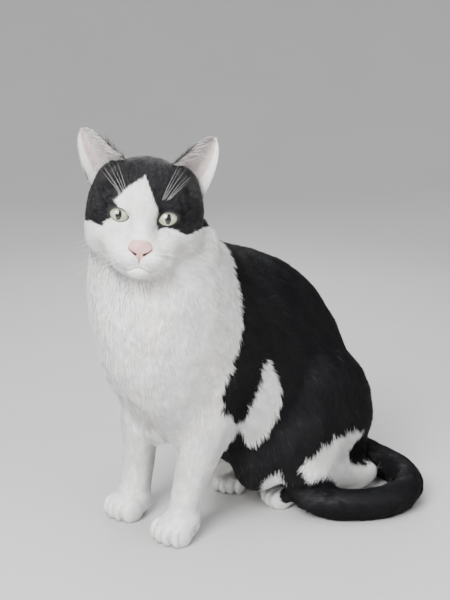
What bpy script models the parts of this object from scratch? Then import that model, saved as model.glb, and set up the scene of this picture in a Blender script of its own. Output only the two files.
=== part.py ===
"""A sitting short-haired tomcat, life size: solids out to the tips of the coat, one object per node.

Design axes while building: x to the cat's left, y backwards, z up, floor at z = 0, and the origin
between the fronts of the two front paws. The finished model is moved so that the middle of its
bounding box stands over the origin.
"""

import math

import bmesh
import bpy
import numpy as np
from mathutils import Matrix, Vector

MM = 0.001
GAP = 0.3 * MM

# Mesh quality of the flesh.
VOXEL = 2.2 * MM
SMOOTH_ROUNDS = 4
BODY_SMOOTH_ROUNDS = 40
KEEP_SHARE = 0.0296
TAIL_KEEP_SHARE = 0.03
RING_SIDES = 32
SHARP_ANGLE = math.radians(50.0)
BETWEEN_SECTIONS = 5

# Head frame: where the middle of the skull lies at eye level, and how the head is turned.
HEAD_AT = Vector((4.0 * MM, -3.0 * MM, 300.0 * MM))
HEAD_YAW = math.radians(46.0)
HEAD_PITCH = math.radians(6.0)
HEAD_ROLL = math.radians(5.5)

# Eyes, in the head frame.
EYE_RADIUS = 10.8 * MM
EYE_SIDE = 20.3 * MM
EYE_HEIGHT = -1.0 * MM
EYE_FRONT = -27.3 * MM

# Body frame: how the chest and the hips are turned, and the middle line of the hips.
CHEST_YAW = math.radians(15.0)
HIP_MIDDLE = 20.0 * MM

# Ears, in the head frame.
EAR_WALL = 2.4 * MM
EAR_CUP = 15.0 * MM
EAR_ROWS = 10
EAR_COLUMNS = 9
EAR_LEANS = {-1: math.radians(7.0), 1: math.radians(-1.5)}


def collection(name, hidden=False):
    """A collection of the scene; one for cutters is left out of renders."""
    made = bpy.data.collections.new(name)
    bpy.context.scene.collection.children.link(made)
    made.hide_render = hidden
    return made


def object_from(name, verts, faces, group):
    """A mesh object made from its vertices and faces."""
    mesh = bpy.data.meshes.new(name)
    mesh.from_pydata([tuple(v) for v in verts], [], [tuple(f) for f in faces])
    mesh.update()
    obj = bpy.data.objects.new(name, mesh)
    group.objects.link(obj)
    return obj


class Shells:
    """Closed shells that overlap; a voxel remesh makes them one body."""

    def __init__(self, around=28, rows=18):
        self.verts = []
        self.faces = []
        self.around = around
        self.rows = rows

    def add(self, verts, faces):
        """Another closed shell."""
        start = len(self.verts)
        self.verts.extend(Vector(v) for v in verts)
        self.faces.extend([start + i for i in face] for face in faces)

    def ball(self, centre, radii, turn=None):
        """An ellipsoid; turn is a 3 x 3 rotation of its axes."""
        bm = bmesh.new()
        bmesh.ops.create_uvsphere(bm, u_segments=self.around, v_segments=self.rows, radius=1.0)
        turn = turn or Matrix.Identity(3)
        size = Matrix.Diagonal(Vector(radii))
        verts = [Vector(centre) + turn @ (size @ v.co) for v in bm.verts]
        faces = [[v.index for v in f.verts] for f in bm.faces]
        bm.free()
        self.add(verts, faces)

    def loft(self, rings):
        """A tube through rings of equally many points, closed at both ends by a fan."""
        sides = len(rings[0])
        verts = [point for ring in rings for point in ring]
        faces = []
        for row in range(len(rings) - 1):
            for side in range(sides):
                after = (side + 1) % sides
                a = row * sides + side
                b = row * sides + after
                faces.append((a, b, b + sides, a + sides))
        first = len(verts)
        verts.append(sum((Vector(p) for p in rings[0]), Vector()) / sides)
        verts.append(sum((Vector(p) for p in rings[-1]), Vector()) / sides)
        last = (len(rings) - 1) * sides
        for side in range(sides):
            after = (side + 1) % sides
            faces.append((first, after, side))
            faces.append((first + 1, last + side, last + after))
        self.add(verts, faces)

    def limb(self, stations):
        """A round tube along stations (x, y, z, radius), smoothly curved between them."""
        path = spaced([list(s) for s in stations])
        centres = [Vector(p[:3]) for p in path]
        rings = []
        for i, centre in enumerate(centres):
            along = (centres[min(i + 1, len(path) - 1)] - centres[max(i - 1, 0)]).normalized()
            side = along.cross(Vector((0.31, 0.17, 0.93))).normalized()
            other = along.cross(side)
            radius = path[i][3]
            ring = []
            for k in range(RING_SIDES):
                angle = 2 * math.pi * k / RING_SIDES
                ring.append(centre + radius * (math.cos(angle) * side + math.sin(angle) * other))
            rings.append(ring)
        self.loft(rings)
        for end in (0, -1):
            self.ball(centres[end], [path[end][3]] * 3)

    def object(self, name, group):
        """All the shells as one object, with faces outwards."""
        obj = object_from(name, self.verts, self.faces, group)
        bm = bmesh.new()
        bm.from_mesh(obj.data)
        bmesh.ops.recalc_face_normals(bm, faces=bm.faces)
        bm.to_mesh(obj.data)
        bm.free()
        return obj


def spaced(rows, between=BETWEEN_SECTIONS):
    """Rows of numbers with more rows between them, on a Catmull-Rom curve."""
    table = np.array(rows, float)
    padded = np.vstack([2 * table[0] - table[1], table, 2 * table[-1] - table[-2]])
    out = []
    for i in range(1, len(table)):
        p0, p1, p2, p3 = padded[i - 1], padded[i], padded[i + 1], padded[i + 2]
        for step in range(between):
            t = step / between
            out.append(
                0.5
                * (
                    2 * p1
                    + (p2 - p0) * t
                    + (2 * p0 - 5 * p1 + 4 * p2 - p3) * t**2
                    + (3 * p1 - p0 - 3 * p2 + p3) * t**3
                )
            )
    out.append(table[-1])
    return [[float(v) for v in row] for row in out]


def head_turn():
    """The 3 x 3 rotation whose columns are the head's left, back and up."""
    level = Vector((math.sin(HEAD_YAW), -math.cos(HEAD_YAW), 0))
    left = Vector((math.cos(HEAD_YAW), math.sin(HEAD_YAW), 0))
    up = Vector((0, 0, 1))
    forward = level * math.cos(HEAD_PITCH) + up * math.sin(HEAD_PITCH)
    crown = up * math.cos(HEAD_PITCH) - level * math.sin(HEAD_PITCH)
    side = left * math.cos(HEAD_ROLL) - crown * math.sin(HEAD_ROLL)
    crown = crown * math.cos(HEAD_ROLL) + left * math.sin(HEAD_ROLL)
    return Matrix((side, -forward, crown)).transposed()


HEAD = head_turn()


def in_head(x, y, z):
    """A point given in the head frame in millimetres."""
    return HEAD_AT + HEAD @ Vector((x * MM, y * MM, z * MM))


# The head's forms, in the head frame in millimetres: middle, radii, and how softly each melts into
# those before it. A form off the middle line is on both sides.
HEAD_FORMS = [
    ((0, 8, 14), (43, 46, 38), 0),
    ((0, -2, -8), (44, 35, 34), 10),
    ((0, 26, -6), (42, 32, 42), 12),
    ((32, 3, -14), (20, 29, 26), 12),
    ((32, 10, 10), (18.5, 27, 22), 12),
    ((30, 13, 30), (14, 13, 14), 10),
    ((19, -23, 14), (15, 13, 10), 8),
    ((25, -22, -14), (16, 14, 13), 10),
    ((16, -32, -25), (15, 15, 13), 9),
    ((0, -20, -38), (26, 31, 15.5), 10),
    ((0, -33, 8), (13, 10, 14), 8),
    ((0, -38, -5), (10.5, 8.5, 12), 8),
    ((0, -45, -15), (9, 9, 11), 7),
    ((0, -40, -30), (17, 18, 14), 8),
    ((9.7, -46.5, -34.5), (12, 12.3, 9.8), 4),
    ((0, -53.5, -25.5), (7.8, 6.2, 6.6), 4),
    ((0, -45.5, -45.3), (10.5, 9.5, 7.4), 4),
]


def head_distance(points):
    """About how far points of the head frame, in millimetres, lie outside the melted head forms."""
    total = None
    for middle, radii, melt in HEAD_FORMS:
        sides = (1, -1) if middle[0] else (1,)
        for side in sides:
            away = points - np.array((side * middle[0], middle[1], middle[2]), float)
            near = np.linalg.norm(away / np.array(radii), axis=1)
            slope = np.linalg.norm(away / np.array(radii) ** 2, axis=1) + 1e-9
            distance = near * (near - 1) / slope
            if total is None:
                total = distance
                continue
            blend = np.clip(0.5 + 0.5 * (total - distance) / max(melt, 0.1), 0, 1)
            total = total * (1 - blend) + distance * blend - melt * blend * (1 - blend)
    return total


def build_head(shells):
    """The head's forms as ellipsoids, and the nape."""
    for middle, radii, _ in HEAD_FORMS:
        sides = (1, -1) if middle[0] else (1,)
        for side in sides:
            at = in_head(side * middle[0], middle[1], middle[2])
            shells.ball(at, [r * MM for r in radii], HEAD)
    # The nape, which carries the back of the skull into the neck.
    shells.ball(in_head(0, 36, -16), Vector((38, 30, 34)) * MM, HEAD)


def settle_head(mesh):
    """Moves the head's part of a mesh onto the melted forms, fading out down the neck."""
    count = len(mesh.vertices)
    points = np.empty(count * 3)
    mesh.vertices.foreach_get("co", points)
    points = points.reshape(-1, 3)
    turn = np.array(HEAD)
    local = (points - np.array(HEAD_AT)) @ turn / MM
    keep = local[:, 2] * 0.80 - local[:, 1] * 0.60
    weight = np.clip((keep + 30) / 16, 0, 1)
    step = 0.4
    for _ in range(8):
        distance = head_distance(local)
        slope = np.stack(
            [
                (head_distance(local + step * axis) - head_distance(local - step * axis)) / (2 * step)
                for axis in np.eye(3)
            ],
            axis=1,
        )
        slope /= np.linalg.norm(slope, axis=1, keepdims=True) + 1e-9
        own = np.clip((5 - distance) / 3, 0, 1) * (distance > -9)
        move = np.clip(distance, -3, 3) * weight * own
        local -= slope * move[:, None] * 0.8
    points = local @ turn.T * MM + np.array(HEAD_AT)
    mesh.vertices.foreach_set("co", points.ravel())
    mesh.update()


def build_trunk(shells):
    """Neck, chest, belly and rump, from pairs of points on the back line and the under line."""
    # x of the middle, back (y, z), underside (y, z), half width, yaw: millimetres and degrees.
    sections = [
        (-6, 50, 318, -12, 285, 44, 38),
        (-7, 62, 301, -30, 258, 55, 32),
        (-8, 80, 283, -44, 232, 62, 26),
        (-9, 104, 269, -49, 200, 66, 20),
        (-8, 134, 259, -43, 164, 67, 15),
        (-6, 169, 250, -24, 130, 66, 11),
        (-2, 203, 234, 8, 100, 65, 7),
        (3, 229, 208, 46, 74, 66, 4),
        (9, 246, 173, 84, 52, 68, 2),
        (14, 254, 132, 122, 36, 69, 0),
        (18, 261, 95, 158, 22, 67, 0),
        (20, 263, 58, 190, 8, 61, 0),
        (20, 259, 28, 215, -2, 48, 0),
        (20, 247, 6, 230, -4, 28, 0),
    ]
    rings = []
    for x, back_y, back_z, under_y, under_z, half_width, yaw in spaced(sections):
        centre = Vector((x, (back_y + under_y) / 2, (back_z + under_z) / 2)) * MM
        rise = Vector((0, (back_y - under_y) / 2, (back_z - under_z) / 2)) * MM
        angle = math.radians(yaw)
        lean = Matrix.Rotation(angle, 3, "Z")
        side = lean @ Vector((half_width * MM, 0, 0))
        rise = lean @ rise
        ring = []
        for k in range(RING_SIDES):
            turn = 2 * math.pi * k / RING_SIDES
            ring.append(centre + rise * math.cos(turn) + side * math.sin(turn))
        rings.append(ring)
    shells.loft(rings)
    # The longer fur that hangs from the chest between the forelegs.
    shells.ball(Vector((-9, 21, 126)) * MM, Vector((27, 28, 47)) * MM)
    # The fur of the belly and the knees, low in front of the hind feet.
    shells.ball(Vector((45, 105, 53)) * MM, Vector((26, 31, 29)) * MM)
    shells.ball(Vector((-12, 107, 50)) * MM, Vector((24, 30, 26)) * MM)


def build_foreleg(shells, side):
    """Shoulder, arm, forearm and paw; side is 1 for the left leg and -1 for the right."""
    lean = Matrix.Rotation(CHEST_YAW, 3, "Z")
    shoulder = Vector((-9, 32, 0)) + lean @ Vector((side * 41, 4, 0))
    shells.ball(
        Vector((shoulder.x, shoulder.y, 176)) * MM,
        Vector((26, 41, 58)) * MM,
        lean @ Matrix.Rotation(math.radians(-16), 3, "X"),
    )
    if side > 0:
        stations = [
            (31, 50, 150, 33),
            (32, 47, 118, 30),
            (31, 40, 92, 25),
            (29, 29, 60, 18.5),
            (28, 20, 36, 15.2),
            (27.5, 17, 22, 15.5),
        ]
    else:
        stations = [
            (-48, 40, 150, 29),
            (-48, 37.5, 118, 25.5),
            (-47.5, 34, 92, 21.8),
            (-46.5, 31, 60, 17.8),
            (-46.5, 27, 36, 16.4),
            (-46, 23, 22, 16.4),
        ]
    shells.limb([[v * MM for v in row] for row in stations])
    paw_x = stations[-1][0]
    paw_y = stations[-1][1] - 6
    shells.ball(Vector((paw_x, paw_y, 13)) * MM, Vector((19, 23, 15)) * MM)
    for k in range(4):
        across = (k - 1.5) / 1.5
        out = paw_x + across * 14
        front = paw_y - 13 + 3.5 * across**2
        shells.ball(Vector((out, front, 10.5)) * MM, Vector((7.4, 12.5, 12.0)) * MM)


def build_hindleg(shells, side):
    """Thigh, knee, shank and foot; the feet point a little inwards, the right one further ahead."""
    mid = HIP_MIDDLE / MM
    out = Matrix.Rotation(math.radians(side * -8), 3, "Z")
    tip = Matrix.Rotation(math.radians(28), 3, "X")
    shells.ball(
        Vector((mid + side * 44, 184, 92)) * MM, Vector((32, 61, 70)) * MM, out @ tip
    )
    shells.ball(Vector((mid + side * 50, 148, 66)) * MM, Vector((28, 50, 48)) * MM, out)
    shells.ball(Vector((mid + side * 46, 204, 80)) * MM, Vector((30, 44, 44)) * MM, out)
    shells.limb(
        [
            [v * MM for v in row]
            for row in (
                (mid + side * 52, 134, 50, 29),
                (mid + side * 54, 162, 38, 26),
                (mid + side * 59, 196, 26, 18),
                (mid + side * 65, 229, 18, 13),
            )
        ]
    )
    left, ahead = (-9, 8) if side < 0 else (0, 0)
    foot = [
        (mid + side * 62 + left, 219 - ahead, 15.5, 14.5),
        (mid + side * 56 + left, 204 - ahead, 14, 13.5),
        (mid + side * 46 + left, 180 - ahead, 13, 13.5),
        (mid + side * 35 + left, 156 - ahead, 12, 14.5),
        (mid + side * 28 + left, 142 - ahead, 11.5, 15),
    ]
    shells.limb([[v * MM for v in row] for row in foot])
    forward = Vector((-side * 0.42, -0.90, 0)).normalized()
    across_dir = Vector((0.90, -side * 0.42, 0)).normalized()
    turn = Matrix.Rotation(math.radians(side * -24), 3, "Z")
    ball_of_foot = Vector((mid + side * 26 + left, 137 - ahead, 0))
    for k in range(4):
        across = (k - 1.5) / 1.5
        spot = ball_of_foot + across_dir * (across * 12) + forward * (8 - 3.5 * across**2)
        shells.ball(Vector((spot.x, spot.y, 10)) * MM, Vector((6.9, 12.5, 11.5)) * MM, turn)


def build_tail(shells):
    """From the rump round the left side to the left hind foot."""
    stations = [
        (18, 238, 46, 18),
        (42, 258, 30, 18),
        (72, 266, 18.5, 17.7),
        (102, 259, 17.6, 17.5),
        (129, 238, 17.5, 17.5),
        (142, 212, 17.3, 17.5),
        (141, 184, 16.8, 16.8),
        (127, 160, 16, 16),
        (107, 142, 17, 16.5),
        (90, 132, 19, 15.5),
        (78, 127.5, 21, 13),
    ]
    shells.limb([[v * MM for v in row] for row in stations])


def ear_edge(points, height):
    """Where an ear's edge runs at a share of its height, as (x, y, z) in the head frame."""
    rows = np.array(points, float)
    at = np.linspace(0, 1, len(rows))
    return Vector([np.interp(height, at, rows[:, i]) for i in range(3)])


def build_ear(side, group):
    """A cupped sheet with a rounded tip, open to the front and the side, made thick by Solidify."""
    outer = [
        (47, 18, 14),
        (51, 17, 22),
        (55, 15, 32),
        (58.5, 14, 42),
        (60.5, 14, 52),
        (61, 15, 61),
        (60, 17, 68),
        (57.5, 18, 72.5),
    ]
    inner = [
        (19, -2, 44),
        (24, -2, 49),
        (29, 0, 54),
        (34.5, 3, 60),
        (40, 7, 65.5),
        (46, 11, 70),
        (51.5, 15, 73),
        (57, 18, 73.5),
    ]
    lean = EAR_LEANS[side]
    hinge = Vector((38, 12, 32))
    rows = []
    for i in range(EAR_ROWS):
        height = i / (EAR_ROWS - 1)
        a = ear_edge(outer, height)
        b = ear_edge(inner, height)
        cup = EAR_CUP / MM * (1 - height) ** 0.75
        row = []
        for j in range(EAR_COLUMNS):
            across = j / (EAR_COLUMNS - 1)
            bulge = cup * math.sin(math.pi * across) ** 0.8
            spot = a.lerp(b, across) + Vector((-0.25, 0.95, 0.18)) * bulge
            spot = hinge + Matrix.Rotation(lean, 3, "Y") @ (spot - hinge)
            row.append(in_head(side * spot.x, spot.y, spot.z))
        rows.append(row)
    verts = [point for row in rows for point in row]
    faces = []
    for i in range(EAR_ROWS - 1):
        for j in range(EAR_COLUMNS - 1):
            a = i * EAR_COLUMNS + j
            face = (a, a + 1, a + 1 + EAR_COLUMNS, a + EAR_COLUMNS)
            faces.append(face if side > 0 else face[::-1])
    ear = object_from("ear_sheet", verts, faces, group)
    wall = ear.modifiers.new("wall", "SOLIDIFY")
    wall.thickness = EAR_WALL
    wall.offset = 0.0
    return ear


def even_out(mesh, shares):
    """Moves each vertex towards its neighbours' middle, once for each array of shares."""
    count = len(mesh.vertices)
    points = np.empty(count * 3)
    mesh.vertices.foreach_get("co", points)
    points = points.reshape(-1, 3)
    edges = np.empty(len(mesh.edges) * 2, np.int64)
    mesh.edges.foreach_get("vertices", edges)
    a, b = edges.reshape(-1, 2).T
    degree = np.bincount(a, minlength=count) + np.bincount(b, minlength=count)
    for share in shares:
        around = np.zeros_like(points)
        for axis in range(3):
            around[:, axis] = np.bincount(a, points[b, axis], count)
            around[:, axis] += np.bincount(b, points[a, axis], count)
        around /= degree[:, None]
        points += (around - points) * share[:, None]
    mesh.vertices.foreach_set("co", points.ravel())
    mesh.update()


def soften(mesh):
    """Evens out a remeshed surface: a lot on the body, a little on the feet."""
    heights = np.array([v.co.z for v in mesh.vertices]) / MM
    high = np.clip((heights - 30) / 40, 0, 1)
    everywhere = np.full(len(heights), 0.5)
    even_out(mesh, [everywhere] * SMOOTH_ROUNDS + [0.5 * high] * BODY_SMOOTH_ROUNDS)


def soften_nape(mesh):
    """Evens out the fold where the head meets the neck."""
    points = np.array([v.co for v in mesh.vertices])
    local = (points - np.array(HEAD_AT)) @ np.array(HEAD) / MM
    distance = head_distance(local)
    behind = np.clip((local[:, 1] + 5) / 15, 0, 1)
    near = np.clip((distance - 0.5) / 2, 0, 1) * np.clip((24 - distance) / 8, 0, 1)
    low = np.clip((25 - local[:, 2]) / 15, 0, 1)
    even_out(mesh, [0.5 * near * behind * low] * BODY_SMOOTH_ROUNDS)


def evaluated(obj, name, group):
    """The object as its modifiers leave it, as a new object without them."""
    bpy.context.view_layer.update()
    graph = bpy.context.evaluated_depsgraph_get()
    mesh = bpy.data.meshes.new_from_object(obj.evaluated_get(graph))
    made = bpy.data.objects.new(name, mesh)
    group.objects.link(made)
    return made


def boolean(obj, cutter, operation):
    """Adds a Boolean modifier; the operation is INTERSECT, UNION or DIFFERENCE."""
    step = obj.modifiers.new(operation.lower(), "BOOLEAN")
    step.operation = operation
    step.solver = "EXACT"
    step.object = cutter


def box(name, centre, size, turn, group):
    """A box whose centre and sides are given in millimetres; turn is a 3 x 3 rotation."""
    half = Vector(size) * MM / 2
    verts = []
    for corner in range(8):
        signs = [1 if corner >> axis & 1 else -1 for axis in range(3)]
        local = Vector([signs[axis] * half[axis] for axis in range(3)])
        verts.append(Vector(centre) * MM + turn @ local)
    faces = ((0, 2, 3, 1), (4, 5, 7, 6), (0, 1, 5, 4), (2, 6, 7, 3), (0, 4, 6, 2), (1, 3, 7, 5))
    made = object_from(name, verts, faces, group)
    made.display_type = "WIRE"
    made.hide_render = True
    return made


def grown(obj, name, amount, group):
    """A copy pushed out along its normals, to cut a neighbour with a gap."""
    made = evaluated(obj, name, group)
    push = made.modifiers.new("grow", "DISPLACE")
    push.strength = amount
    push.mid_level = 0.0
    out = evaluated(made, name, group)
    bpy.data.objects.remove(made)
    out.display_type = "WIRE"
    out.hide_render = True
    return out


def material(name, colour, roughness):
    """A plain material."""
    made = bpy.data.materials.new(name)
    made.use_nodes = True
    shader = made.node_tree.nodes["Principled BSDF"]
    shader.inputs["Base Color"].default_value = (*colour, 1.0)
    shader.inputs["Roughness"].default_value = roughness
    return made


def finish_node(obj, colour, roughness=0.8):
    """Smooth shading except at the cuts, and a material of the node's own."""
    for face in obj.data.polygons:
        face.use_smooth = True
    obj.data.set_sharp_from_angle(angle=SHARP_ANGLE)
    obj.data.materials.clear()
    obj.data.materials.append(material(obj.name, colour, roughness))


def thin_out(dense):
    """Fewer triangles, most of them kept on the head and the feet."""
    mesh = dense.data
    group = dense.vertex_groups.new(name="plain")
    turn = np.array(HEAD)
    for vertex in mesh.vertices:
        local = (np.array(vertex.co) - np.array(HEAD_AT)) @ turn / MM
        face = local[1] < 20 and local[2] > -56 and np.linalg.norm(local) < 80
        feet = vertex.co.z / MM < 34
        group.add([vertex.index], 0.85 if face or feet else 1.0, "REPLACE")
    fewer = dense.modifiers.new("fewer", "DECIMATE")
    fewer.ratio = KEEP_SHARE
    fewer.vertex_group = group.name


def hindleg_cutters(side, word, group):
    """The region of a hind leg and the same grown by the gap: a leaning box and a low one."""
    mid = HIP_MIDDLE / MM
    made = []
    for grow in (0.0, GAP / MM):
        lean = Matrix.Rotation(math.radians(side * 15), 3, "Y")
        centre = Vector((mid + side * 122, 192, 50))
        size = (140 + 2 * grow, 200 + 2 * grow, 200 + 2 * grow)
        thigh = box(f"hindleg_{word}_box{grow}", centre, size, lean, group)
        inner = mid + side * 2
        outer = mid + side * 100
        low = (min(inner, outer), 100, -50)
        high = (max(inner, outer), 148, 22)
        toes = leg_box(f"toes_{word}_box{grow}", low, high, grow, group)
        boolean(thigh, toes, "UNION")
        both = evaluated(thigh, f"hindleg_{word}_cutter{grow}", group)
        bpy.data.objects.remove(thigh)
        both.hide_render = True
        both.display_type = "WIRE"
        made.append(both)
    return made


def build_tail_nodes(flesh_room, below, cat, cutters):
    """The tail, clear of the flesh, in three lengths."""
    shells = Shells()
    build_tail(shells)
    rough = shells.object("rough_tail", cutters)
    remesh = rough.modifiers.new("one body", "REMESH")
    remesh.mode = "VOXEL"
    remesh.voxel_size = VOXEL
    smooth = rough.modifiers.new("soft", "SMOOTH")
    smooth.factor = 0.5
    smooth.iterations = 12
    fewer = rough.modifiers.new("fewer", "DECIMATE")
    fewer.ratio = TAIL_KEEP_SHARE
    tail = evaluated(rough, "whole_tail", cutters)
    first_cut = (Vector((86, 264, 0)), Vector((0.96, -0.28, 0)))
    second_cut = (Vector((142, 192, 0)), Vector((-0.08, -1.0, 0)))
    steps = {
        "tail_base": [(first_cut, -1)],
        "tail_middle": [(first_cut, 1), (second_cut, -1)],
        "tail_tip": [(second_cut, 1)],
    }
    for name, planes in steps.items():
        cuts = [("DIFFERENCE", flesh_room), ("DIFFERENCE", below)]
        for (point, normal), sign in planes:
            plane = half_space(f"{name}_plane{sign}", point, normal * sign, cutters)
            cuts.append(("INTERSECT", plane))
        cut(tail, name, cuts, cat)


def stand_over_origin(group):
    """Moves the model so that the middle of its bounding box stands over the origin."""
    corners = [v.co for obj in group.objects for v in obj.data.vertices]
    low = [min(c[axis] for c in corners) for axis in range(3)]
    high = [max(c[axis] for c in corners) for axis in range(3)]
    shift = Vector((-(low[0] + high[0]) / 2, -(low[1] + high[1]) / 2, -low[2]))
    for obj in group.objects:
        obj.data.transform(Matrix.Translation(shift))
        obj.data.update()


def half_space(name, point, normal, group):
    """A big box whose near face passes through the point, short of it by half the gap."""
    normal = Vector(normal).normalized()
    turn = Vector((0, 0, 1)).rotation_difference(normal).to_matrix()
    size = 700
    centre = Vector(point) + normal * (size / 2 + GAP / MM / 2)
    return box(name, centre, (size, size, size), turn, group)


def cut(flesh, name, steps, group):
    """A node: a copy of the flesh taken through Booleans, each an operation and a cutter."""
    node = bpy.data.objects.new(name + "_uncut", flesh.data.copy())
    group.objects.link(node)
    for operation, cutter in steps:
        boolean(node, cutter, operation)
    made = evaluated(node, name, group)
    bpy.data.objects.remove(node)
    return made


def leg_box(name, low, high, grow, group):
    """An upright box between two corners in millimetres, larger all round by grow."""
    middle = [(a + b) / 2 for a, b in zip(low, high)]
    size = [b - a + 2 * grow for a, b in zip(low, high)]
    return box(name, middle, size, Matrix.Identity(3), group)


def main():
    for obj in list(bpy.data.objects):
        bpy.data.objects.remove(obj)
    cat = collection("cat")
    cutters = collection("cutters", hidden=True)

    shells = Shells()
    build_head(shells)
    build_trunk(shells)
    for side in (-1, 1):
        build_foreleg(shells, side)
        build_hindleg(shells, side)
    rough = shells.object("rough_flesh", cutters)
    remesh = rough.modifiers.new("one body", "REMESH")
    remesh.mode = "VOXEL"
    remesh.voxel_size = VOXEL
    dense = evaluated(rough, "dense_flesh", cutters)
    soften(dense.data)
    settle_head(dense.data)
    soften_nape(dense.data)
    thin_out(dense)
    flesh = evaluated(dense, "flesh", cutters)
    below = box("below_floor", (0, 150, -60), (800, 800, 120), Matrix.Identity(3), cutters)

    eyes = []
    sockets = []
    for side in (-1, 1):
        ball = Shells(16, 11)
        ball.ball(in_head(side * EYE_SIDE / MM, EYE_FRONT / MM, EYE_HEIGHT / MM), [EYE_RADIUS] * 3)
        eye = ball.object("eye_left" if side > 0 else "eye_right", cat)
        eyes.append(eye)
        sockets.append(grown(eye, eye.name + "_socket", GAP, cutters))

    throat = in_head(0, -30, -57) / MM
    nape_normal = HEAD @ Vector((0, -0.597, 0.802))
    above_throat = half_space("above_throat", throat, nape_normal, cutters)
    below_throat = half_space("below_throat", throat, -nape_normal, cutters)
    collar = Vector((-9, -50, 196))
    collar_normal = Vector((0, -0.428, 0.904))
    above_collar = half_space("above_collar", collar, collar_normal, cutters)
    below_collar = half_space("below_collar", collar, -collar_normal, cutters)

    steps = [("INTERSECT", above_throat)] + [("DIFFERENCE", socket) for socket in sockets]
    head = cut(flesh, "head", steps, cat)
    cut(flesh, "neck", [("INTERSECT", below_throat), ("INTERSECT", above_collar)], cat)
    trunk_steps = [("INTERSECT", below_collar), ("DIFFERENCE", below)]
    for side in (-1, 1):
        word = "left" if side > 0 else "right"
        inner = -9 + side * 13
        outer = side * 160
        low = (min(inner, outer), -90, -50)
        high = (max(inner, outer), 72, 112)
        fore = leg_box(f"foreleg_{word}_box", low, high, 0, cutters)
        fore_room = leg_box(f"foreleg_{word}_room", low, high, GAP / MM, cutters)
        cut(flesh, f"foreleg_{word}", [("INTERSECT", fore), ("DIFFERENCE", below)], cat)
        trunk_steps.append(("DIFFERENCE", fore_room))
        hind, hind_room = hindleg_cutters(side, word, cutters)
        cut(flesh, f"hindleg_{word}", [("INTERSECT", hind), ("DIFFERENCE", below)], cat)
        trunk_steps.append(("DIFFERENCE", hind_room))
    cut(flesh, "trunk", trunk_steps, cat)

    flesh_room = grown(flesh, "flesh_room", GAP, cutters)
    build_tail_nodes(flesh_room, below, cat, cutters)
    for side in (-1, 1):
        ear = build_ear(side, cutters)
        boolean(ear, flesh_room, "DIFFERENCE")
        evaluated(ear, "ear_left" if side > 0 else "ear_right", cat)

    white = (0.82, 0.81, 0.78)
    black = (0.02, 0.02, 0.022)
    iris = (0.55, 0.6, 0.35)
    for obj in list(cat.objects):
        if obj.name.startswith("eye"):
            finish_node(obj, iris, 0.1)
        elif obj.name.startswith(("head", "neck", "foreleg")):
            finish_node(obj, white)
        else:
            finish_node(obj, black)
    stand_over_origin(cat)


main()
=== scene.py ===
"""The looks of the sitting black and white cat: skin, coat, eyes, nose, whiskers, light and camera.

Three frames are used. The row frame is the CAD's, in metres. The body frame is in millimetres, with
x to the cat's left, y backwards and z up, from a point between the front paws. The head frame is in
millimetres, with x to the head's left, y back and z up, from the middle of the skull at eye level.
"""

import contextlib
import math

import bmesh
import bpy
import numpy as np
from mathutils import Matrix, Vector
from mathutils.bvhtree import BVHTree
from mathutils.kdtree import KDTree


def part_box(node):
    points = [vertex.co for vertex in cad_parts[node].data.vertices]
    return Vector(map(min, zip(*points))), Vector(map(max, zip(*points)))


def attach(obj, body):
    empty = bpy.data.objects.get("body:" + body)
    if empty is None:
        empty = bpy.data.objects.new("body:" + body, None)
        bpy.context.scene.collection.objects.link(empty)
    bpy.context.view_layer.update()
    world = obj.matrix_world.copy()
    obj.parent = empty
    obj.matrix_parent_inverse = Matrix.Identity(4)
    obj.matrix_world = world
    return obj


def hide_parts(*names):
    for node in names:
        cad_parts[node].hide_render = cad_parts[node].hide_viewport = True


MM = 0.001
SEED = 7
SIDES = (1, -1)

# The head, as the CAD turns it: yaw, pitch and roll.
HEAD_AT = np.array((4.0, -3.0, 300.0))
HEAD_YAW, HEAD_PITCH, HEAD_ROLL = (math.radians(angle) for angle in (46.0, 6.0, 5.5))

# Eyes, in the head frame: the ball, its dome over the iris, and half the opening of the lids.
EYE_RADIUS = 10.7
EYE_DOME = 0.45
EYE = np.array((20.3, -27.3, -1.0))
LID = 1.0
LID_HALF = 8.0
LID_HIGH = 5.8

# Skin mesh: how far each node grows to meet the next, and the first mesh's cell and smoothing.
GROW = 0.35
VOXEL = 2.4
SMOOTH_ROUNDS = 14
FLOOR_GAP = 0.3

# Tufts: how far a blade's sides are shaded apart, how deep its root goes, its height for its width,
# its width halfway up, the share of blades that gather others, and half its patch on the unwrap.
SHADE_LEAN = 0.2
ROOT_DEPTH = 0.25
BLADE_HEIGHT = 0.45
BLADE_WAIST = 0.85
GUIDE_SHARE = 1 / 22
PATCH = 0.0015

# Middle of the chest and of the hips across the body.
CHEST_MIDDLE = -9.0
HIP_MIDDLE = 20.0

FLESH = ("head", "neck", "trunk", "foreleg_left", "foreleg_right", "hindleg_left", "hindleg_right")
FLESH += ("tail_base", "tail_middle", "tail_tip")
EARS = ("ear_left", "ear_right")
EYES = ("eye_left", "eye_right")

# Colours of the coat and the bare skin; the last is painted shade in the nostrils and the lids' own
# dark edges, the one before it the lips' tone darkened as painted shade in the mouth's crease.
WHITE = np.array((0.84, 0.835, 0.82))
BLACK = np.array((0.005, 0.005, 0.006))
PINK = np.array((0.64, 0.39, 0.36))
EAR_PINK = np.array((0.44, 0.32, 0.31))
LIP_AND_CREASE_SHADE = np.array((0.30, 0.21, 0.20))
NOSTRIL_SHADE_LID_DARK = np.array((0.03, 0.016, 0.014))


# ---------------------------------------------------------------- frames and fields


def turned(a, b, angle):
    """Two perpendicular directions or coordinates, turned in their plane."""
    return a * math.cos(angle) + b * math.sin(angle), b * math.cos(angle) - a * math.sin(angle)


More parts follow.
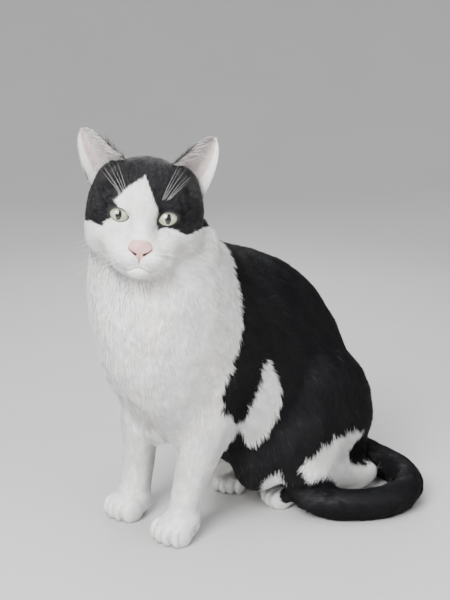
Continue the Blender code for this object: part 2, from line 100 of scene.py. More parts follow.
def head_turn():
    """The 3 x 3 rotation whose columns are the head's left, back and up."""
    left = np.array((math.cos(HEAD_YAW), math.sin(HEAD_YAW), 0))
    level = np.array((math.sin(HEAD_YAW), -math.cos(HEAD_YAW), 0))
    forward, crown = turned(level, np.array((0, 0, 1.0)), HEAD_PITCH)
    crown, side = turned(crown, left, HEAD_ROLL)
    return np.stack((side, -forward, crown), axis=1)


HEAD = head_turn()


def find_offset():
    """From the body frame to the row frame, in metres: read off the CAD's eyes."""
    middle = sum((low + high for low, high in map(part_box, EYES)), Vector()) / 4
    return np.array(middle) - (HEAD_AT + HEAD @ (EYE * (0, 1, 1))) * MM


def body_of_row(points):
    return (points - OFFSET) / MM


def row_of_body(points):
    return points * MM + OFFSET


def head_of_body(points):
    return (points - HEAD_AT) @ HEAD


def row_of_head(points):
    return row_of_body(np.asarray(points) @ HEAD.T + HEAD_AT)


def smooth_step(value, low, high):
    t = np.clip((value - low) / (high - low), 0, 1)
    return t * t * (3 - 2 * t)


def blend(under, over, share):
    return under * (1 - share) + over * share


def unit(vectors):
    return vectors / (np.linalg.norm(vectors, axis=-1, keepdims=True) + 1e-12)


def towards(a, b, angle):
    """Directions that lean from a towards b by an angle each."""
    return a * np.cos(angle)[:, None] + b * np.sin(angle)[:, None]


def stretches(points, line):
    """Each stretch of a line: its ends, and the points' share along it and distance from it."""
    line = np.array(line, float)
    for a, b in zip(line[:-1], line[1:]):
        t = np.clip(((points - a) @ (b - a)) / ((b - a) @ (b - a)), 0, 1)
        yield a, b, t, np.linalg.norm(points - a - t[:, None] * (b - a), axis=1)


class Ripple:
    """A smooth random field of points: a sum of sine waves of about one length."""

    def __init__(self, length, seed, waves=7):
        rng = np.random.default_rng(seed)
        directions = unit(rng.normal(size=(waves, 3)))
        lengths = length * rng.uniform(0.7, 1.5, waves)
        self.waves = directions * (2 * math.pi / lengths)[:, None]
        self.phases = rng.uniform(0, 2 * math.pi, waves)

    def __call__(self, points):
        total = np.sin(points @ self.waves.T + self.phases).sum(axis=1)
        return total / math.sqrt(len(self.phases) / 2)


# ---------------------------------------------------------------- forms of the head and the paws

# Middle, radii, and how softly each melts into those before it. A form off the middle line is on
# both sides.
HEAD_FORMS = [
    ((0, 8, 14), (43, 46, 38), 0.1),
    ((0, -2, -8), (44, 35, 34), 10),
    ((0, 26, -6), (42, 32, 42), 12),
    ((32, 3, -14), (20, 29, 26), 12),
    ((32, 10, 10), (18.5, 27, 22), 12),
    ((30, 13, 30), (14, 13, 14), 10),
    ((19, -23, 14), (15, 13, 10), 8),
    ((25, -22, -14), (16, 14, 13), 10),
    ((16, -32, -25), (15, 15, 13), 9),
    ((0, -20, -38), (26, 31, 15.5), 10),
    ((0, -33, 8), (13, 10, 14), 8),
    ((0, -38, -5), (10.5, 8.5, 12), 8),
    ((0, -45, -15), (9, 9, 11), 7),
    ((0, -40, -30), (17, 18, 14), 8),
    ((9.7, -46.5, -34.5), (12, 12.3, 9.8), 4),
    ((0, -53.5, -25.5), (7.8, 6.2, 6.6), 4),
    ((0, -45.5, -45.3), (10.5, 9.5, 7.4), 4),
]
# The wings of the nose and the brow folds above the inner corners of the eyes.
FACE_FORMS = [((5.6, -54.8, -27.0), (4.2, 3.8, 3.6), 1.6), ((21, -33, 9.5), (11, 4, 3.4), 4)]
FAR = 1000.0

# The toes of a foot, from one side to the other.
TOES = [(k - 1.5) / 1.5 for k in range(4)]


def both_sides(forms):
    made = []
    for (x, y, z), *rest in forms:
        made += [((side * x, y, z), *rest) for side in (SIDES if x else (1,))]
    return made


def paw_forms():
    """Each foot's middle in the body frame, and its forms; a toe also has a turn in degrees."""
    made = []
    for x, y in ((27.5, 17.0), (-45.5, 23.0)):
        forms = [((x, y, 22), (15.5, 15.5, 15.5), 0.1), ((x, y + 3, 36), (15.2, 15.2, 15.2), 6)]
        forms.append(((x, y - 6, 13), (18.6, 22.5, 15), 5))
        for across in TOES:
            front = y - 19.4 + 3.5 * across**2
            forms.append(((x + across * 14.2, front, 9.8), (6.7, 12.8, 11.6), 1.3, across * -7))
        made.append((np.array((x, y - 8, 10.0)), forms))
    for side, mid, back in ((1, HIP_MIDDLE, 0), (-1, HIP_MIDDLE - 9, -8)):
        forms = [((mid + side * 28, 142 + back, 11.5), (15, 15, 15), 0.1)]
        forms.append(((mid + side * 35, 156 + back, 12), (14.5, 14.5, 14.5), 5))
        for across in TOES:
            ahead = 8.4 - 3.5 * across**2
            x = mid + side * 26 + 0.90 * across * 12.2 - side * 0.42 * ahead
            y = 137 + back - side * 0.42 * across * 12.2 - 0.90 * ahead
            forms.append(((x, y, 9.6), (6.3, 12.8, 11.2), 1.2, side * -24))
        made.append((np.array((mid + side * 26, 134 + back, 10.0)), forms))
    return made


PAWS = paw_forms()


def melt_in(total, distance, melt):
    """A smooth union of two distances."""
    share = np.clip(0.5 + 0.5 * (total - distance) / melt, 0, 1)
    return blend(total, distance, share) - melt * share * (1 - share)


def melt_forms(points, forms, total=FAR):
    """About how far points lie outside ellipsoids that melt together."""
    for middle, radii, melt, *turn in forms:
        away = points - np.array(middle)
        if turn:
            away[:, 0], away[:, 1] = turned(away[:, 0], away[:, 1], math.radians(turn[0]))
        near = np.linalg.norm(away / np.array(radii), axis=1)
        slope = np.linalg.norm(away / np.array(radii) ** 2, axis=1) + 1e-9
        total = melt_in(total, near * (near - 1) / slope, melt)
    return total


def lid_power(u):
    """The opening is rounder towards the outer corner than towards the inner one."""
    return np.where(u < 0, 1.7, 2.0)


def lid_base(u):
    """Height of the line between the eye's corners: the inner corner is the lower one."""
    return 0.15 + 0.13 * u - 0.5 * smooth_step(-u, 4, 9)


def from_eye(local, side):
    """Places outwards, back and up from an eye, and below 1 where the lids are open."""
    u, back, w = ((local - EYE * (side, 1, 1)) * (side, 1, 1)).T
    power = lid_power(u)
    total = np.abs(u / LID_HALF) ** power + np.abs((w - lid_base(u)) / LID_HIGH) ** power
    return u, back, w, total ** (1 / power)


def over_eye(local):
    """Whether head-frame points lie in front of an eye or on the edge of its lids."""
    found = np.zeros(len(local), bool)
    for side in SIDES:
        *away, opening = from_eye(local, side)
        found |= (np.linalg.norm(away, axis=0) < 15) & (away[1] < 2) & (opening < 1.10)
    return found


# The right nostril's line, as x and z, and its radius at each point.
NOSTRIL = [(3.4, -31.4), (6.2, -29.8), (9.4, -27.2)]
NOSTRIL_RADIUS = (0.85, 0.45, 0.1)


def nostril(local):
    """1 inside the nostrils, seen from the front: commas that run out and up from the middle."""
    places = np.stack((np.abs(local[:, 0]), local[:, 2]), axis=1)
    nearest = np.full(len(local), FAR)
    for i, (_, _, t, away) in enumerate(stretches(places, NOSTRIL)):
        radius = blend(NOSTRIL_RADIUS[i], NOSTRIL_RADIUS[i + 1], t)
        nearest = np.minimum(nearest, away - radius)
    return (1 - smooth_step(nearest, -0.2, 0.5)) * (local[:, 1] < -46)


def face_distance(points):
    """How far head-frame points lie outside the skin of the head, with its lids."""
    total = melt_forms(points, both_sides(HEAD_FORMS)) + skin_depth_head(points)
    for side in SIDES:
        ball = np.linalg.norm(points - EYE * (side, 1, 1), axis=1) - (EYE_RADIUS + LID)
        total = melt_in(total, ball, 3.5)
    return melt_forms(points, both_sides(FACE_FORMS), total)


def settle(points, weight, distance_of, reach, rounds=7):
    """Moves points onto the zero of a distance, by at most reach from where they start."""
    step = 0.15
    chosen = np.nonzero(weight > 0)[0]
    start = points[chosen]
    local = start.copy()
    for _ in range(rounds):
        ends = [[distance_of(local + way * step * axis) for way in SIDES] for axis in np.eye(3)]
        slope = unit(np.stack([(ahead - behind) / (2 * step) for ahead, behind in ends], axis=1))
        local -= slope * (np.clip(distance_of(local), -2, 2) * 0.85)[:, None]
    moved = local - start
    far = np.linalg.norm(moved, axis=1)
    share = weight[chosen] * (1 - smooth_step(far, reach * 0.7, reach))
    out = points.copy()
    out[chosen] = start + moved * share[:, None]
    return out


# ---------------------------------------------------------------- the lie of the coat

# Places out from the body's middle, backwards and up; the coat's direction there in the same order;
# its length; and its depth.
LIE = [
    ((0, 70, 303), (0, 0.7, -0.7), 11, 3.0),
    ((0, 124, 262), (0, 0.9, -0.4), 12, 3.0),
    ((0, 203, 236), (0, 0.75, -0.65), 12, 3.0),
    ((0, 250, 170), (0, 0.25, -1), 13, 3.2),
    ((0, 262, 80), (0, 0.1, -1), 13, 3.4),
    ((50, 30, 268), (0.1, 0.4, -0.9), 13, 3.4),
    ((0, -38, 258), (0, -0.1, -1), 12, 3.2),
    ((0, -48, 205), (0, 0.05, -1), 16, 4.4),
    ((0, -26, 150), (0, 0.35, -1), 18, 4.6),
    ((0, 6, 100), (0, 0.25, -1), 20, 4.6),
    ((42, -15, 210), (0.15, 0.25, -1), 15, 4.0),
    ((62, 40, 205), (0, 0.4, -0.9), 12, 3.0),
    ((60, 40, 150), (0, 0.3, -1), 11, 2.8),
    ((62, 120, 225), (0, 0.85, -0.5), 12, 3.0),
    ((66, 125, 160), (0, 0.75, -0.65), 12, 3.0),
    ((60, 100, 108), (0, 0.45, -0.85), 13, 3.0),
    ((15, 85, 66), (0, 0.5, -0.8), 14, 3.0),
    ((70, 215, 150), (0, 0.25, -1), 12, 3.0),
    ((77, 180, 112), (0, -0.05, -1), 12, 3.0),
    ((66, 125, 92), (0, 0.15, -1), 12, 2.8),
    ((80, 135, 60), (0, -0.25, -1), 9, 2.4),
    ((78, 190, 45), (0, -0.35, -0.9), 9, 2.4),
    ((72, 222, 15), (0, -0.8, -0.5), 5, 1.2),
    ((50, 180, 18), (-0.2, -1, -0.2), 5, 1.2),
    ((28, 140, 16), (-0.3, -1, -0.35), 3.4, 0.8),
    ((38, 40, 112), (0, 0.15, -1), 8, 2.0),
    ((37, 31, 62), (0, 0.05, -1), 6.5, 1.6),
    ((37, 20, 35), (0, -0.2, -1), 5, 1.2),
    ((37, 4, 18), (0, -1, -0.5), 3.4, 0.8),
    ((37, -10, 10), (0, -0.6, -0.9), 3.0, 0.8),
]
LIE_REACH = 24.0

# The tail's middle line in the body frame, from the rump to the tip.
TAIL_LINE = [(18, 238, 46), (42, 258, 30), (72, 266, 18.5), (102, 259, 17.6), (129, 238, 17.5)]
TAIL_LINE += [(142, 212, 17.3), (141, 184, 16.8), (127, 160, 16), (107, 142, 17), (90, 132, 19)]
TAIL_LINE += [(76, 126, 21)]


def out_of_middle(points):
    """How far body-frame points lie to the left of the body's middle line."""
    bend = smooth_step(points[:, 1], 60, 200)
    return points[:, 0] - (CHEST_MIDDLE + (HIP_MIDDLE - CHEST_MIDDLE) * bend)


def lie_at(points):
    """Direction, length and depth of the body's coat at body-frame points."""
    out = out_of_middle(points)
    folded = np.stack((np.abs(out), points[:, 1], points[:, 2]), axis=1)
    sums = np.zeros((len(points), 6))
    for place, way, *sizes in LIE:
        away = np.linalg.norm(folded - np.array(place, float), axis=1)
        weight = 1 / (1 + (away / LIE_REACH) ** 4)
        sums += weight[:, None] * (*unit(np.array(way, float)), *sizes, 1)
    direction = sums[:, :3]
    direction[:, 0] *= np.where(out < 0, -1.0, 1.0) * smooth_step(np.abs(out), 0, 12)
    return unit(direction), sums[:, 3] / sums[:, 5], sums[:, 4] / sums[:, 5] * 0.72


def tail_at(points):
    """Share of the tail at body-frame points, and the way to its tip."""
    best = np.full(len(points), FAR)
    way = np.zeros_like(points)
    along = np.zeros(len(points))
    for i, (a, b, t, away) in enumerate(stretches(points, TAIL_LINE)):
        closer = away < best
        best = np.where(closer, away, best)
        way[closer] = unit(b - a)
        along = np.where(closer, i + t, along)
    return (1 - smooth_step(best, 19, 23)) * smooth_step(along, 0.4, 1.4), way


def head_share(local, low=-34, high=-12):
    """1 on the head and 0 down the neck, of head-frame points."""
    return smooth_step(local[:, 2] * 0.80 - local[:, 1] * 0.60, low, high)


def cheek(local):
    """1 on the cheeks and 0 on the face and the crown."""
    return smooth_step(local[:, 1], -25, 15) * smooth_step(-local[:, 2], -20, 20)


def from_muzzle(local):
    return np.linalg.norm(local - (0, -56, -28), axis=1)


def skin_depth_head(local):
    """How deep the skin lies below the coat's tips on the head."""
    muzzle = 1 - smooth_step(np.linalg.norm(local - (0, -52, -30), axis=1), 12, 40)
    return 1.1 - 0.6 * muzzle + 1.6 * cheek(local)


def coat_at(points):
    """Direction, length and depth of the coat at body-frame points, head and tail included."""
    direction, length, depth = lie_at(points)
    share, way = tail_at(points)
    direction = unit(blend(direction, way, share[:, None]))
    length = blend(length, 14, share)
    depth = blend(depth, 2.6, share)
    away = np.min([np.linalg.norm(points - middle, axis=1) for middle, _ in PAWS], axis=0)
    length = blend(length, np.minimum(length, 3.2), 1 - smooth_step(away, 20, 34))
    local = head_of_body(points)
    share = head_share(local)
    spread = unit(local - (0, -44, -20.0))
    spread = unit(spread + np.array((0, 0.25, -0.2)) * smooth_step(local[:, 1], -30, 0)[:, None])
    # Under the chin the coat runs back to the throat.
    chin = smooth_step(-local[:, 2], 40, 50) * (1 - smooth_step(local[:, 1], -25, -5))
    spread = unit(spread + np.array((0, 1.2, 0.3)) * chin[:, None])
    short = 1.8 + 3.4 * smooth_step(from_muzzle(local), 8, 45) + 5.0 * cheek(local)
    direction = unit(blend(direction, spread @ HEAD.T, share[:, None]))
    return direction, blend(length, short, share), blend(depth, skin_depth_head(local), share)


# ---------------------------------------------------------------- markings

# The black on each side of the face, as seen from the front: x and z in the head frame.
BLACK_RIGHT = [(-1.5, 33.5), (-8, 28), (-14, 24), (-20, 16), (-25, 10.5), (-22, 6.5), (-21, 0)]
BLACK_RIGHT += [(-30.5, -6.5), (-34, -11.5), (-38, -10.5), (-44, -8.5), (-50, -9), (-90, -9)]
BLACK_RIGHT += [(-90, 90), (14, 90), (14, 56)]
BLACK_LEFT = [(-14, 56), (-14, 90), (90, 90), (90, -4), (55, -2), (52, -7), (45, -10), (38, -13)]
BLACK_LEFT += [(33, -12), (27, -9), (20, -8.5), (13, -11), (10.8, -7), (11.6, 3), (10.8, 8)]
BLACK_LEFT += [(8.6, 12), (5, 20), (2, 26), (-1.5, 33.5)]

# The edge of the black body on the side, as y and z in the body frame: along the shoulder, round
# the white of the left flank (on the right straight on) and the paw, and along the haunch.
SHOULDER_EDGE = [(126, 300), (104, 268), (76, 247), (68, 212), (62, 186), (50, 161), (35, 138)]
SHOULDER_EDGE += [(40, 122)]
LEFT_FLANK_EDGE = [(62, 103), (73, 105), (82, 128), (92, 154), (99, 160), (107, 142), (113, 118)]
LEFT_FLANK_EDGE += [(107, 100), (99, 86), (91, 77), (84, 75), (80, 79), (75, 88), (68, 94)]
LEFT_FLANK_EDGE += [(64, 80), (64, 50), (68, 22), (99, 22), (94, 33), (90, 41), (95, 46)]
LEFT_FLANK_EDGE += [(102, 47), (106, 38), (107, 22)]
RIGHT_FLANK_EDGE = [(62, 100), (84, 84)]
HAUNCH_EDGE = [(124, 24), (124, 38), (116, 46), (112, 53), (121, 60), (136, 68), (163, 73)]
HAUNCH_EDGE += [(190, 73), (211, 68), (188, 52), (186, 44), (197, 34), (216, 30), (236, 27)]
HAUNCH_EDGE += [(250, 12), (248, -20), (330, -20), (330, 330), (126, 330)]


def outside(places, corners):
    """Signed distance of 2-D places to a polygon, below 0 inside."""
    inside = np.zeros(len(places), bool)
    nearest = np.full(len(places), FAR)
    for a, b, _, away in stretches(places, corners + corners[:1]):
        nearest = np.minimum(nearest, away)
        if a[1] != b[1]:
            spans = (a[1] > places[:, 1]) != (b[1] > places[:, 1])
            cross = a[0] + (places[:, 1] - a[1]) * (b[0] - a[0]) / (b[1] - a[1])
            inside ^= spans & (places[:, 0] < cross)
    return np.where(inside, -nearest, nearest)


def white_margin(points):
    """Signed distance in mm to the black markings at body-frame points: above 0 on white."""
    local = head_of_body(points)
    front = local[:, (0, 2)]
    face = np.minimum(outside(front, BLACK_RIGHT), outside(front, BLACK_LEFT))
    # Round the side and the back the cap's edge is a height, lowest on the nape.
    drop = 24 * smooth_step(local[:, 1], 10, 45) * (1 - smooth_step(np.abs(local[:, 0]), 8, 45))
    head = blend(face, -(local[:, 2] + 7 + drop), smooth_step(local[:, 1], 4, 16))
    out = out_of_middle(points)
    _, y, z = points.T
    edges = [SHOULDER_EDGE + flank + HAUNCH_EDGE for flank in (RIGHT_FLANK_EDGE, LEFT_FLANK_EDGE)]
    body = np.where(out < 0, *(outside(points[:, 1:], edge) for edge in edges))
    # A strip of the belly between the legs is white.
    under = 20 - np.abs(out) - 0.6 * np.clip(z - 60, 0, 60)
    body = np.maximum(body, np.minimum(under, np.minimum(175 - y, 108 - z)))
    body = np.where(tail_at(points)[0] > 0.5, -20.0, body)
    return np.where(head_share(local, -46, -40) > 0.5, head, body)


# ---------------------------------------------------------------- mesh helpers


def new_object(name, data):
    obj = bpy.data.objects.new(name, data)
    bpy.context.scene.collection.objects.link(obj)
    return obj


def read(items, field, width, kind=np.float32):
    """One field of a mesh's items, a row for each."""
    values = np.empty(len(items) * width, kind)
    items.foreach_get(field, values)
    return values.reshape(-1, width)


def write(items, field, values, kind=np.float32):
    items.foreach_set(field, np.asarray(values, kind).ravel())


def read_points(mesh):
    return read(mesh.vertices, "co", 3).astype(float)


def write_points(mesh, points):
    write(mesh.vertices, "co", points)
    mesh.update()


@contextlib.contextmanager
def edited(mesh):
    """The mesh as a bmesh that is written back."""
    bm = bmesh.new()
    bm.from_mesh(mesh)
    yield bm
    bm.to_mesh(mesh)
    bm.free()


def add_field(mesh, name, values, kind="FLOAT", field="value"):
    """An attribute on the vertices."""
    write(mesh.attributes.new(name, kind, "POINT").data, field, values)


def add_tone(mesh, tone):
    rgba = np.concatenate((tone, np.ones((len(tone), 1))), axis=1)
    add_field(mesh, "tone", rgba, "FLOAT_COLOR", "color")


def grid_faces(rows, columns, wrap=(False, False)):
    """Quads between the neighbours in a grid of points, which may close on itself."""
    index = np.arange(rows * columns).reshape(rows, columns)
    index = np.pad(index, [(0, int(ends)) for ends in wrap], "wrap")
    corners = (index[:-1, :-1], index[1:, :-1], index[1:, 1:], index[:-1, 1:])
    return np.stack(corners, axis=-1).reshape(-1, 4)


def mesh_from_arrays(name, points, faces):
    """A mesh of triangles or quads from arrays."""
    mesh = bpy.data.meshes.new(name)
    count, corners = faces.shape
    mesh.vertices.add(len(points))
    write(mesh.vertices, "co", points)
    mesh.loops.add(count * corners)
    write(mesh.loops, "vertex_index", faces, np.int32)
    mesh.polygons.add(count)
    write(mesh.polygons, "loop_start", np.arange(0, count * corners, corners), np.int32)
    write(mesh.polygons, "use_smooth", np.ones(count), bool)
    mesh.update(calc_edges=True)
    return mesh


def even_out(mesh, points, share, rounds):
    """Moves each point towards its neighbours' middle; share is a number or one for each point."""
    count = len(points)
    a, b = read(mesh.edges, "vertices", 2, np.int32).T
    degree = (np.bincount(a, minlength=count) + np.bincount(b, minlength=count))[:, None]
    share = np.broadcast_to(share, (count,))[:, None]
    for _ in range(rounds):
        around = [np.bincount(a, p[b], count) + np.bincount(b, p[a], count) for p in points.T]
        points = points + (np.stack(around, axis=1) / degree - points) * share
    return points


# ---------------------------------------------------------------- skin


def flesh_as_one():
    """The CAD's flesh, each node grown a little so that they overlap, as one closed mesh."""
    joined = bpy.data.meshes.new("joined")
    with edited(joined) as bm:
        for name in FLESH + EYES:
            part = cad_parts[name].data.copy()
            part.materials.clear()
            with edited(part) as piece:
                bmesh.ops.remove_doubles(piece, verts=piece.verts, dist=0.02 * MM)
                piece.normal_update()
                for vertex in piece.verts:
                    vertex.co += vertex.normal * GROW * MM
            bm.from_mesh(part)
            bpy.data.meshes.remove(part)
    rough = new_object("rough", joined)
    remesh = rough.modifiers.new("one", "REMESH")
    remesh.mode = "VOXEL"
    remesh.voxel_size = VOXEL * MM
    graph = bpy.context.evaluated_depsgraph_get()
    mesh = bpy.data.meshes.new_from_object(rough.evaluated_get(graph))
    bpy.data.objects.remove(rough)
    return mesh


def fine_areas(body):
    """Where the skin is split, again and again: head and toes; face; and eyes, nose and lips."""
    local = head_of_body(body)
    folded = np.abs(local) * (1, 0, 0) + local * (0, 1, 1)
    x, y, z = folded.T
    head = (y < 24) & (np.linalg.norm(local, axis=1) < 72) & (z > -58)
    hind_toes = (body[:, 1] < 165) & (np.abs(body[:, 0] - HIP_MIDDLE) < 52)
    toes = (body[:, 2] < 30) & ((body[:, 1] < 60) | hind_toes)
    face = (y < -14) & (x < 38) & (np.abs(z + 18) < 38)
    eyes = (np.linalg.norm(folded - EYE, axis=1) < 15) & (y < -26)
    nose = np.linalg.norm(local - (0, -56, -29), axis=1) < 13
    lips = (np.abs(z + 44) < 3.5) & (x < 20) & (y < -25)
    return head | toes, face, eyes | nose | lips


def refine(mesh, area):
    """Splits the faces of a fine area into four."""
    with edited(mesh) as bm:
        chosen = fine_areas(body_of_row(np.array([v.co for v in bm.verts])))[area]
        edges = [e for e in bm.edges if chosen[e.verts[0].index] and chosen[e.verts[1].index]]
        bmesh.ops.subdivide_edges(bm, edges=edges, cuts=1, use_grid_fill=True)


def open_lids(local):
    """Lets the eyes show: the skin round the opening lies on the eyeball and that inside sinks."""
    for side in SIDES:
        u, back, w, opening = from_eye(local, side)
        near = (back < 2) & (np.abs(u) < 14) & (np.abs(w) < 12)
        # The edge of the opening becomes an even line.
        edge = near & (opening > 0.94) & (opening < 1.04)
        scale = np.where(edge, 1 / np.maximum(opening, 0.1), 1)
        w = np.where(edge, lid_base(u * scale) + (w - lid_base(u)) * scale, w)
        u = u * scale
        across = np.minimum(u**2 + w**2, (EYE_RADIUS - 1.6) ** 2)
        on_lid = -np.sqrt((EYE_RADIUS + 0.8) ** 2 - across)
        sunk = -np.sqrt((EYE_RADIUS - 1.4) ** 2 - across)
        back = blend(back, on_lid, 1 - smooth_step(opening, 1.03, 1.45))
        back = np.where(opening <= 0.94, sunk, back)
        moved = EYE * (side, 1, 1) + np.stack((u * side, back, w), axis=1)
        local = np.where(near[:, None], moved, local)
    return local


# An ear's outer and inner edge, from its base to its tip, in the head frame.
EAR_OUTER = [(46, 18, 6), (47, 18, 14), (51, 17, 22), (55, 15, 32), (58.5, 14, 42)]
EAR_OUTER += [(60.5, 14, 52), (61, 15, 61), (60, 17, 68), (57.8, 18, 72)]
EAR_INNER = [(15, -3, 36), (19, -2, 44), (24, -2, 49), (29, 0, 54), (34.5, 3, 60)]
EAR_INNER += [(40, 7, 65.5), (46, 11, 70), (51.5, 15, 73), (56.6, 18, 73.2)]
EAR_HINGE = np.array((38, 12, 32.0))
EAR_ROWS, EAR_COLUMNS = EAR_GRID = (44, 36)


def ear_sheet(side):
    """The middle sheet of an ear as a grid of head-frame points, from its base to its tip."""
    lean = math.radians(7.0 if side < 0 else -1.5)
    turn = np.array(Matrix.Rotation(lean, 3, "Y"))
    across = np.linspace(0, 1, EAR_COLUMNS)[:, None]
    at = np.linspace(0, 1, len(EAR_OUTER))
    rows = []
    for height in np.linspace(0, 1, EAR_ROWS):
        edges = (zip(*EAR_OUTER), zip(*EAR_INNER))
        outer, inner = (np.array([np.interp(height, at, p) for p in edge]) for edge in edges)
        # The sheet starts inside the head: the CAD's ear begins an eighth of the way up this one.
        real = max((height - 0.125) / 0.875, 0)
        bulge = 15 * (1 - real) ** 0.75 * np.sin(math.pi * across) ** 0.8
        rows.append(outer + (inner - outer) * across + np.array((-0.25, 0.95, 0.18)) * bulge)
    return (EAR_HINGE + (np.array(rows) - EAR_HINGE) @ turn.T) * (side, 1, 1)


def build_ear(side):
    """A closed ear with thin edges: head-frame points, quads, cup, rim and place across."""
    sheet = ear_sheet(side)
    # The corners of the outline are rounded along the rows.
    for _ in range(6):
        sheet[1:-1] = sheet[1:-1] * 0.5 + (sheet[:-2] + sheet[2:]) * 0.25
    # Normals point out of the cup, to the ear's back.
    normal = unit(np.cross(*np.gradient(sheet, axis=(0, 1))))
    normal *= np.sign(normal[EAR_ROWS // 2, EAR_COLUMNS // 2, 1])
    across = np.linspace(0, 1, EAR_COLUMNS)[None, :, None]
    height = np.linspace(0, 1, EAR_ROWS)[:, None, None]
    arch = np.sin(np.pi * across)
    thick = 0.35 + 1.1 * arch**0.5 * (1 - height) ** 0.4
    wave = np.sin(across * 9 + height * 4) * arch * (1 - height)
    front = sheet - normal * (thick * 0.5 + 0.35 * wave)
    points = np.concatenate((front, sheet + normal * thick * 0.5)).reshape(-1, 3)
    index = np.arange(EAR_ROWS * EAR_COLUMNS).reshape(EAR_GRID)
    quads = grid_faces(*EAR_GRID)
    loop = np.concatenate((index[:, 0], index[-1, 1:], index[-2::-1, -1], index[0, -2:0:-1]))
    after = np.roll(loop, -1)
    walls = np.stack((after, after + index.size, loop + index.size, loop), axis=-1)
    faces = np.concatenate((quads, quads[:, ::-1] + index.size, walls))
    wide, high = (np.broadcast_to(grid[:, :, 0], EAR_GRID).ravel() for grid in (across, height))
    # The rim is white, but for the lower part of the inner edge.
    outer = 1 - smooth_step(wide, 0.12, 0.22)
    inner = (1 - smooth_step(1 - wide, 0.08, 0.16)) * smooth_step(high, 0.55, 0.75)
    rim = np.maximum(np.maximum(outer, inner), smooth_step(high, 0.90, 0.96))
    behind = (1 - smooth_step(np.minimum(wide, 1 - wide), 0.02, 0.06)) * (outer + inner > 0.5)
    behind = np.maximum(behind, smooth_step(high, 0.95, 0.98))
    cup = np.repeat((1.0, 0.0), index.size)
    return points, faces[:, ::side], cup, np.concatenate((rim, behind)), np.tile(wide, 2)


def toe_fold_shade(body):
    """1 in the folds between the toes, where the colour is painted darker as painted shade."""
    fold_shade = np.zeros(len(body))
    for _, forms in PAWS:
        toes = [(np.array(form[0]), math.radians(form[3])) for form in forms if len(form) > 3]
        for (a, angle), (b, _) in zip(toes[:-1], toes[1:]):
            away = body - (a + b) / 2
            across, back = turned(away[:, 0], away[:, 1], angle)
            line = np.exp(-((across / 0.85) ** 2)) * smooth_step(-back, -1, 5)
            fold_shade = np.maximum(fold_shade, line * (1 - smooth_step(body[:, 2], 15, 19)))
    return fold_shade


def nostril_shade_lid_dark(local):
    """How dark the skin is painted, 0 to 1: inside the nostrils as painted shade in the openings, at
    the lids' edges as their own dark colour.
    """
    dark = nostril(local) * (1 - 0.35 * smooth_step(np.abs(local[:, 0]), 5, 10))
    for side in SIDES:
        *away, opening = from_eye(local, side)
        near = (np.linalg.norm(away, axis=0) < 14) & (away[1] < 0)
        dark = np.maximum(dark, near * (1 - smooth_step(opening, 1.03, 1.10)))
    return dark


def lip_line(local):
    """1 along the line of the mouth, fading to its corners, and down the split of the lip."""
    x, y, z = local.T
    across = np.abs(x)
    height = -42.3 - 3.2 * smooth_step(across, 1, 10) + 1.4 * smooth_step(across, 12, 21)
    line = np.exp(-(((z - height) / 0.8) ** 2)) * (y < -22) * (1 - smooth_step(across, 12, 21))
    split = np.exp(-((x / 0.7) ** 2)) * (y < -44)
    split = split * smooth_step(-z, 30, 36) * (1 - smooth_step(-z, 42, 43.5))
    return np.maximum(line, split)


def nose_leather(local):
    """1 on the bare nose."""
    x, y, z = local.T
    levels = (-38.8, -36, -33, -30.5, -28, -25, -22, -20.2, -19.4)
    widths = (0.4, 1.4, 3.6, 6.8, 10.0, 10.0, 8.6, 6.8, 0.5)
    half = np.interp(z, levels, widths, left=0, right=0)
    return smooth_step(half - np.abs(x), -0.35, 0.35) * (y < -45) * (half > 0)


def skin_tone(body, local, cup, rim, ear):
    """Colour of the skin at each vertex, with the coat's markings."""
    black = 1 - smooth_step(white_margin(body), -0.8, 0.8)
    black = np.where(ear, 1 - np.maximum(cup, rim), black)
    # The folds between the toes are painted darker: painted shade in the creases.
    tone = blend(WHITE * (1 - 0.45 * toe_fold_shade(body)[:, None]), BLACK, black[:, None])
    for colour, share in (
        (EAR_PINK, cup * ear * (1 - 0.8 * rim)),
        (PINK, nose_leather(local)),
        # The mouth's line and the split of the lip: the lips' pinkish tone, darkened as painted shade
        # in the crease.
        (LIP_AND_CREASE_SHADE, 0.7 * lip_line(local) * ~ear),
        # Painted shade inside the nostrils; the lids' edges are dark of their own.
        (NOSTRIL_SHADE_LID_DARK, nostril_shade_lid_dark(local) * ~ear),
    ):
        tone = blend(tone, colour, share[:, None])
    return tone


def shape_skin(mesh):
    """Sinks the body's skin by the coat's depth, and settles head and paws on their forms."""
    body = body_of_row(read_points(mesh))
    head_weight = head_share(head_of_body(body), -30, -14)
    low = body[:, 2]
    weights = []
    for middle, _ in PAWS:
        away = np.linalg.norm((body - middle) * (1, 1, 0.7), axis=1)
        weights.append((1 - smooth_step(away, 24, 32)) * (1 - smooth_step(low, 18, 27)))
    sink = (coat_at(body)[2] + GROW) * smooth_step(low, 0.5, 5)
    sink = sink * (1 - head_weight) * (1 - np.max(weights, axis=0))
    body = body - read(mesh.vertex_normals, "vector", 3) * sink[:, None]
    for (_, forms), weight in zip(PAWS, weights):
        body = settle(body, weight, lambda p, f=forms: melt_forms(p, f) + 0.8, 9)
    local = settle(head_of_body(body), head_weight, face_distance, 12, rounds=9)
    junction = smooth_step(head_weight, 0.02, 0.3) * (1 - smooth_step(head_weight, 0.6, 0.99))
    smoothed = even_out(mesh, local, junction * 0.5, 12)
    local = blend(smoothed, local, smooth_step(-local[:, 1], 20, 26)[:, None])
    local = open_lids(local)
    # The nostrils and the lips' folds go in from the front.
    local[:, 1] += 1.6 * nostril(local) + 0.9 * lip_line(local)
    body = local @ HEAD.T + HEAD_AT
    body[:, 2] = np.maximum(body[:, 2], FLOOR_GAP)
    write_points(mesh, row_of_body(body))


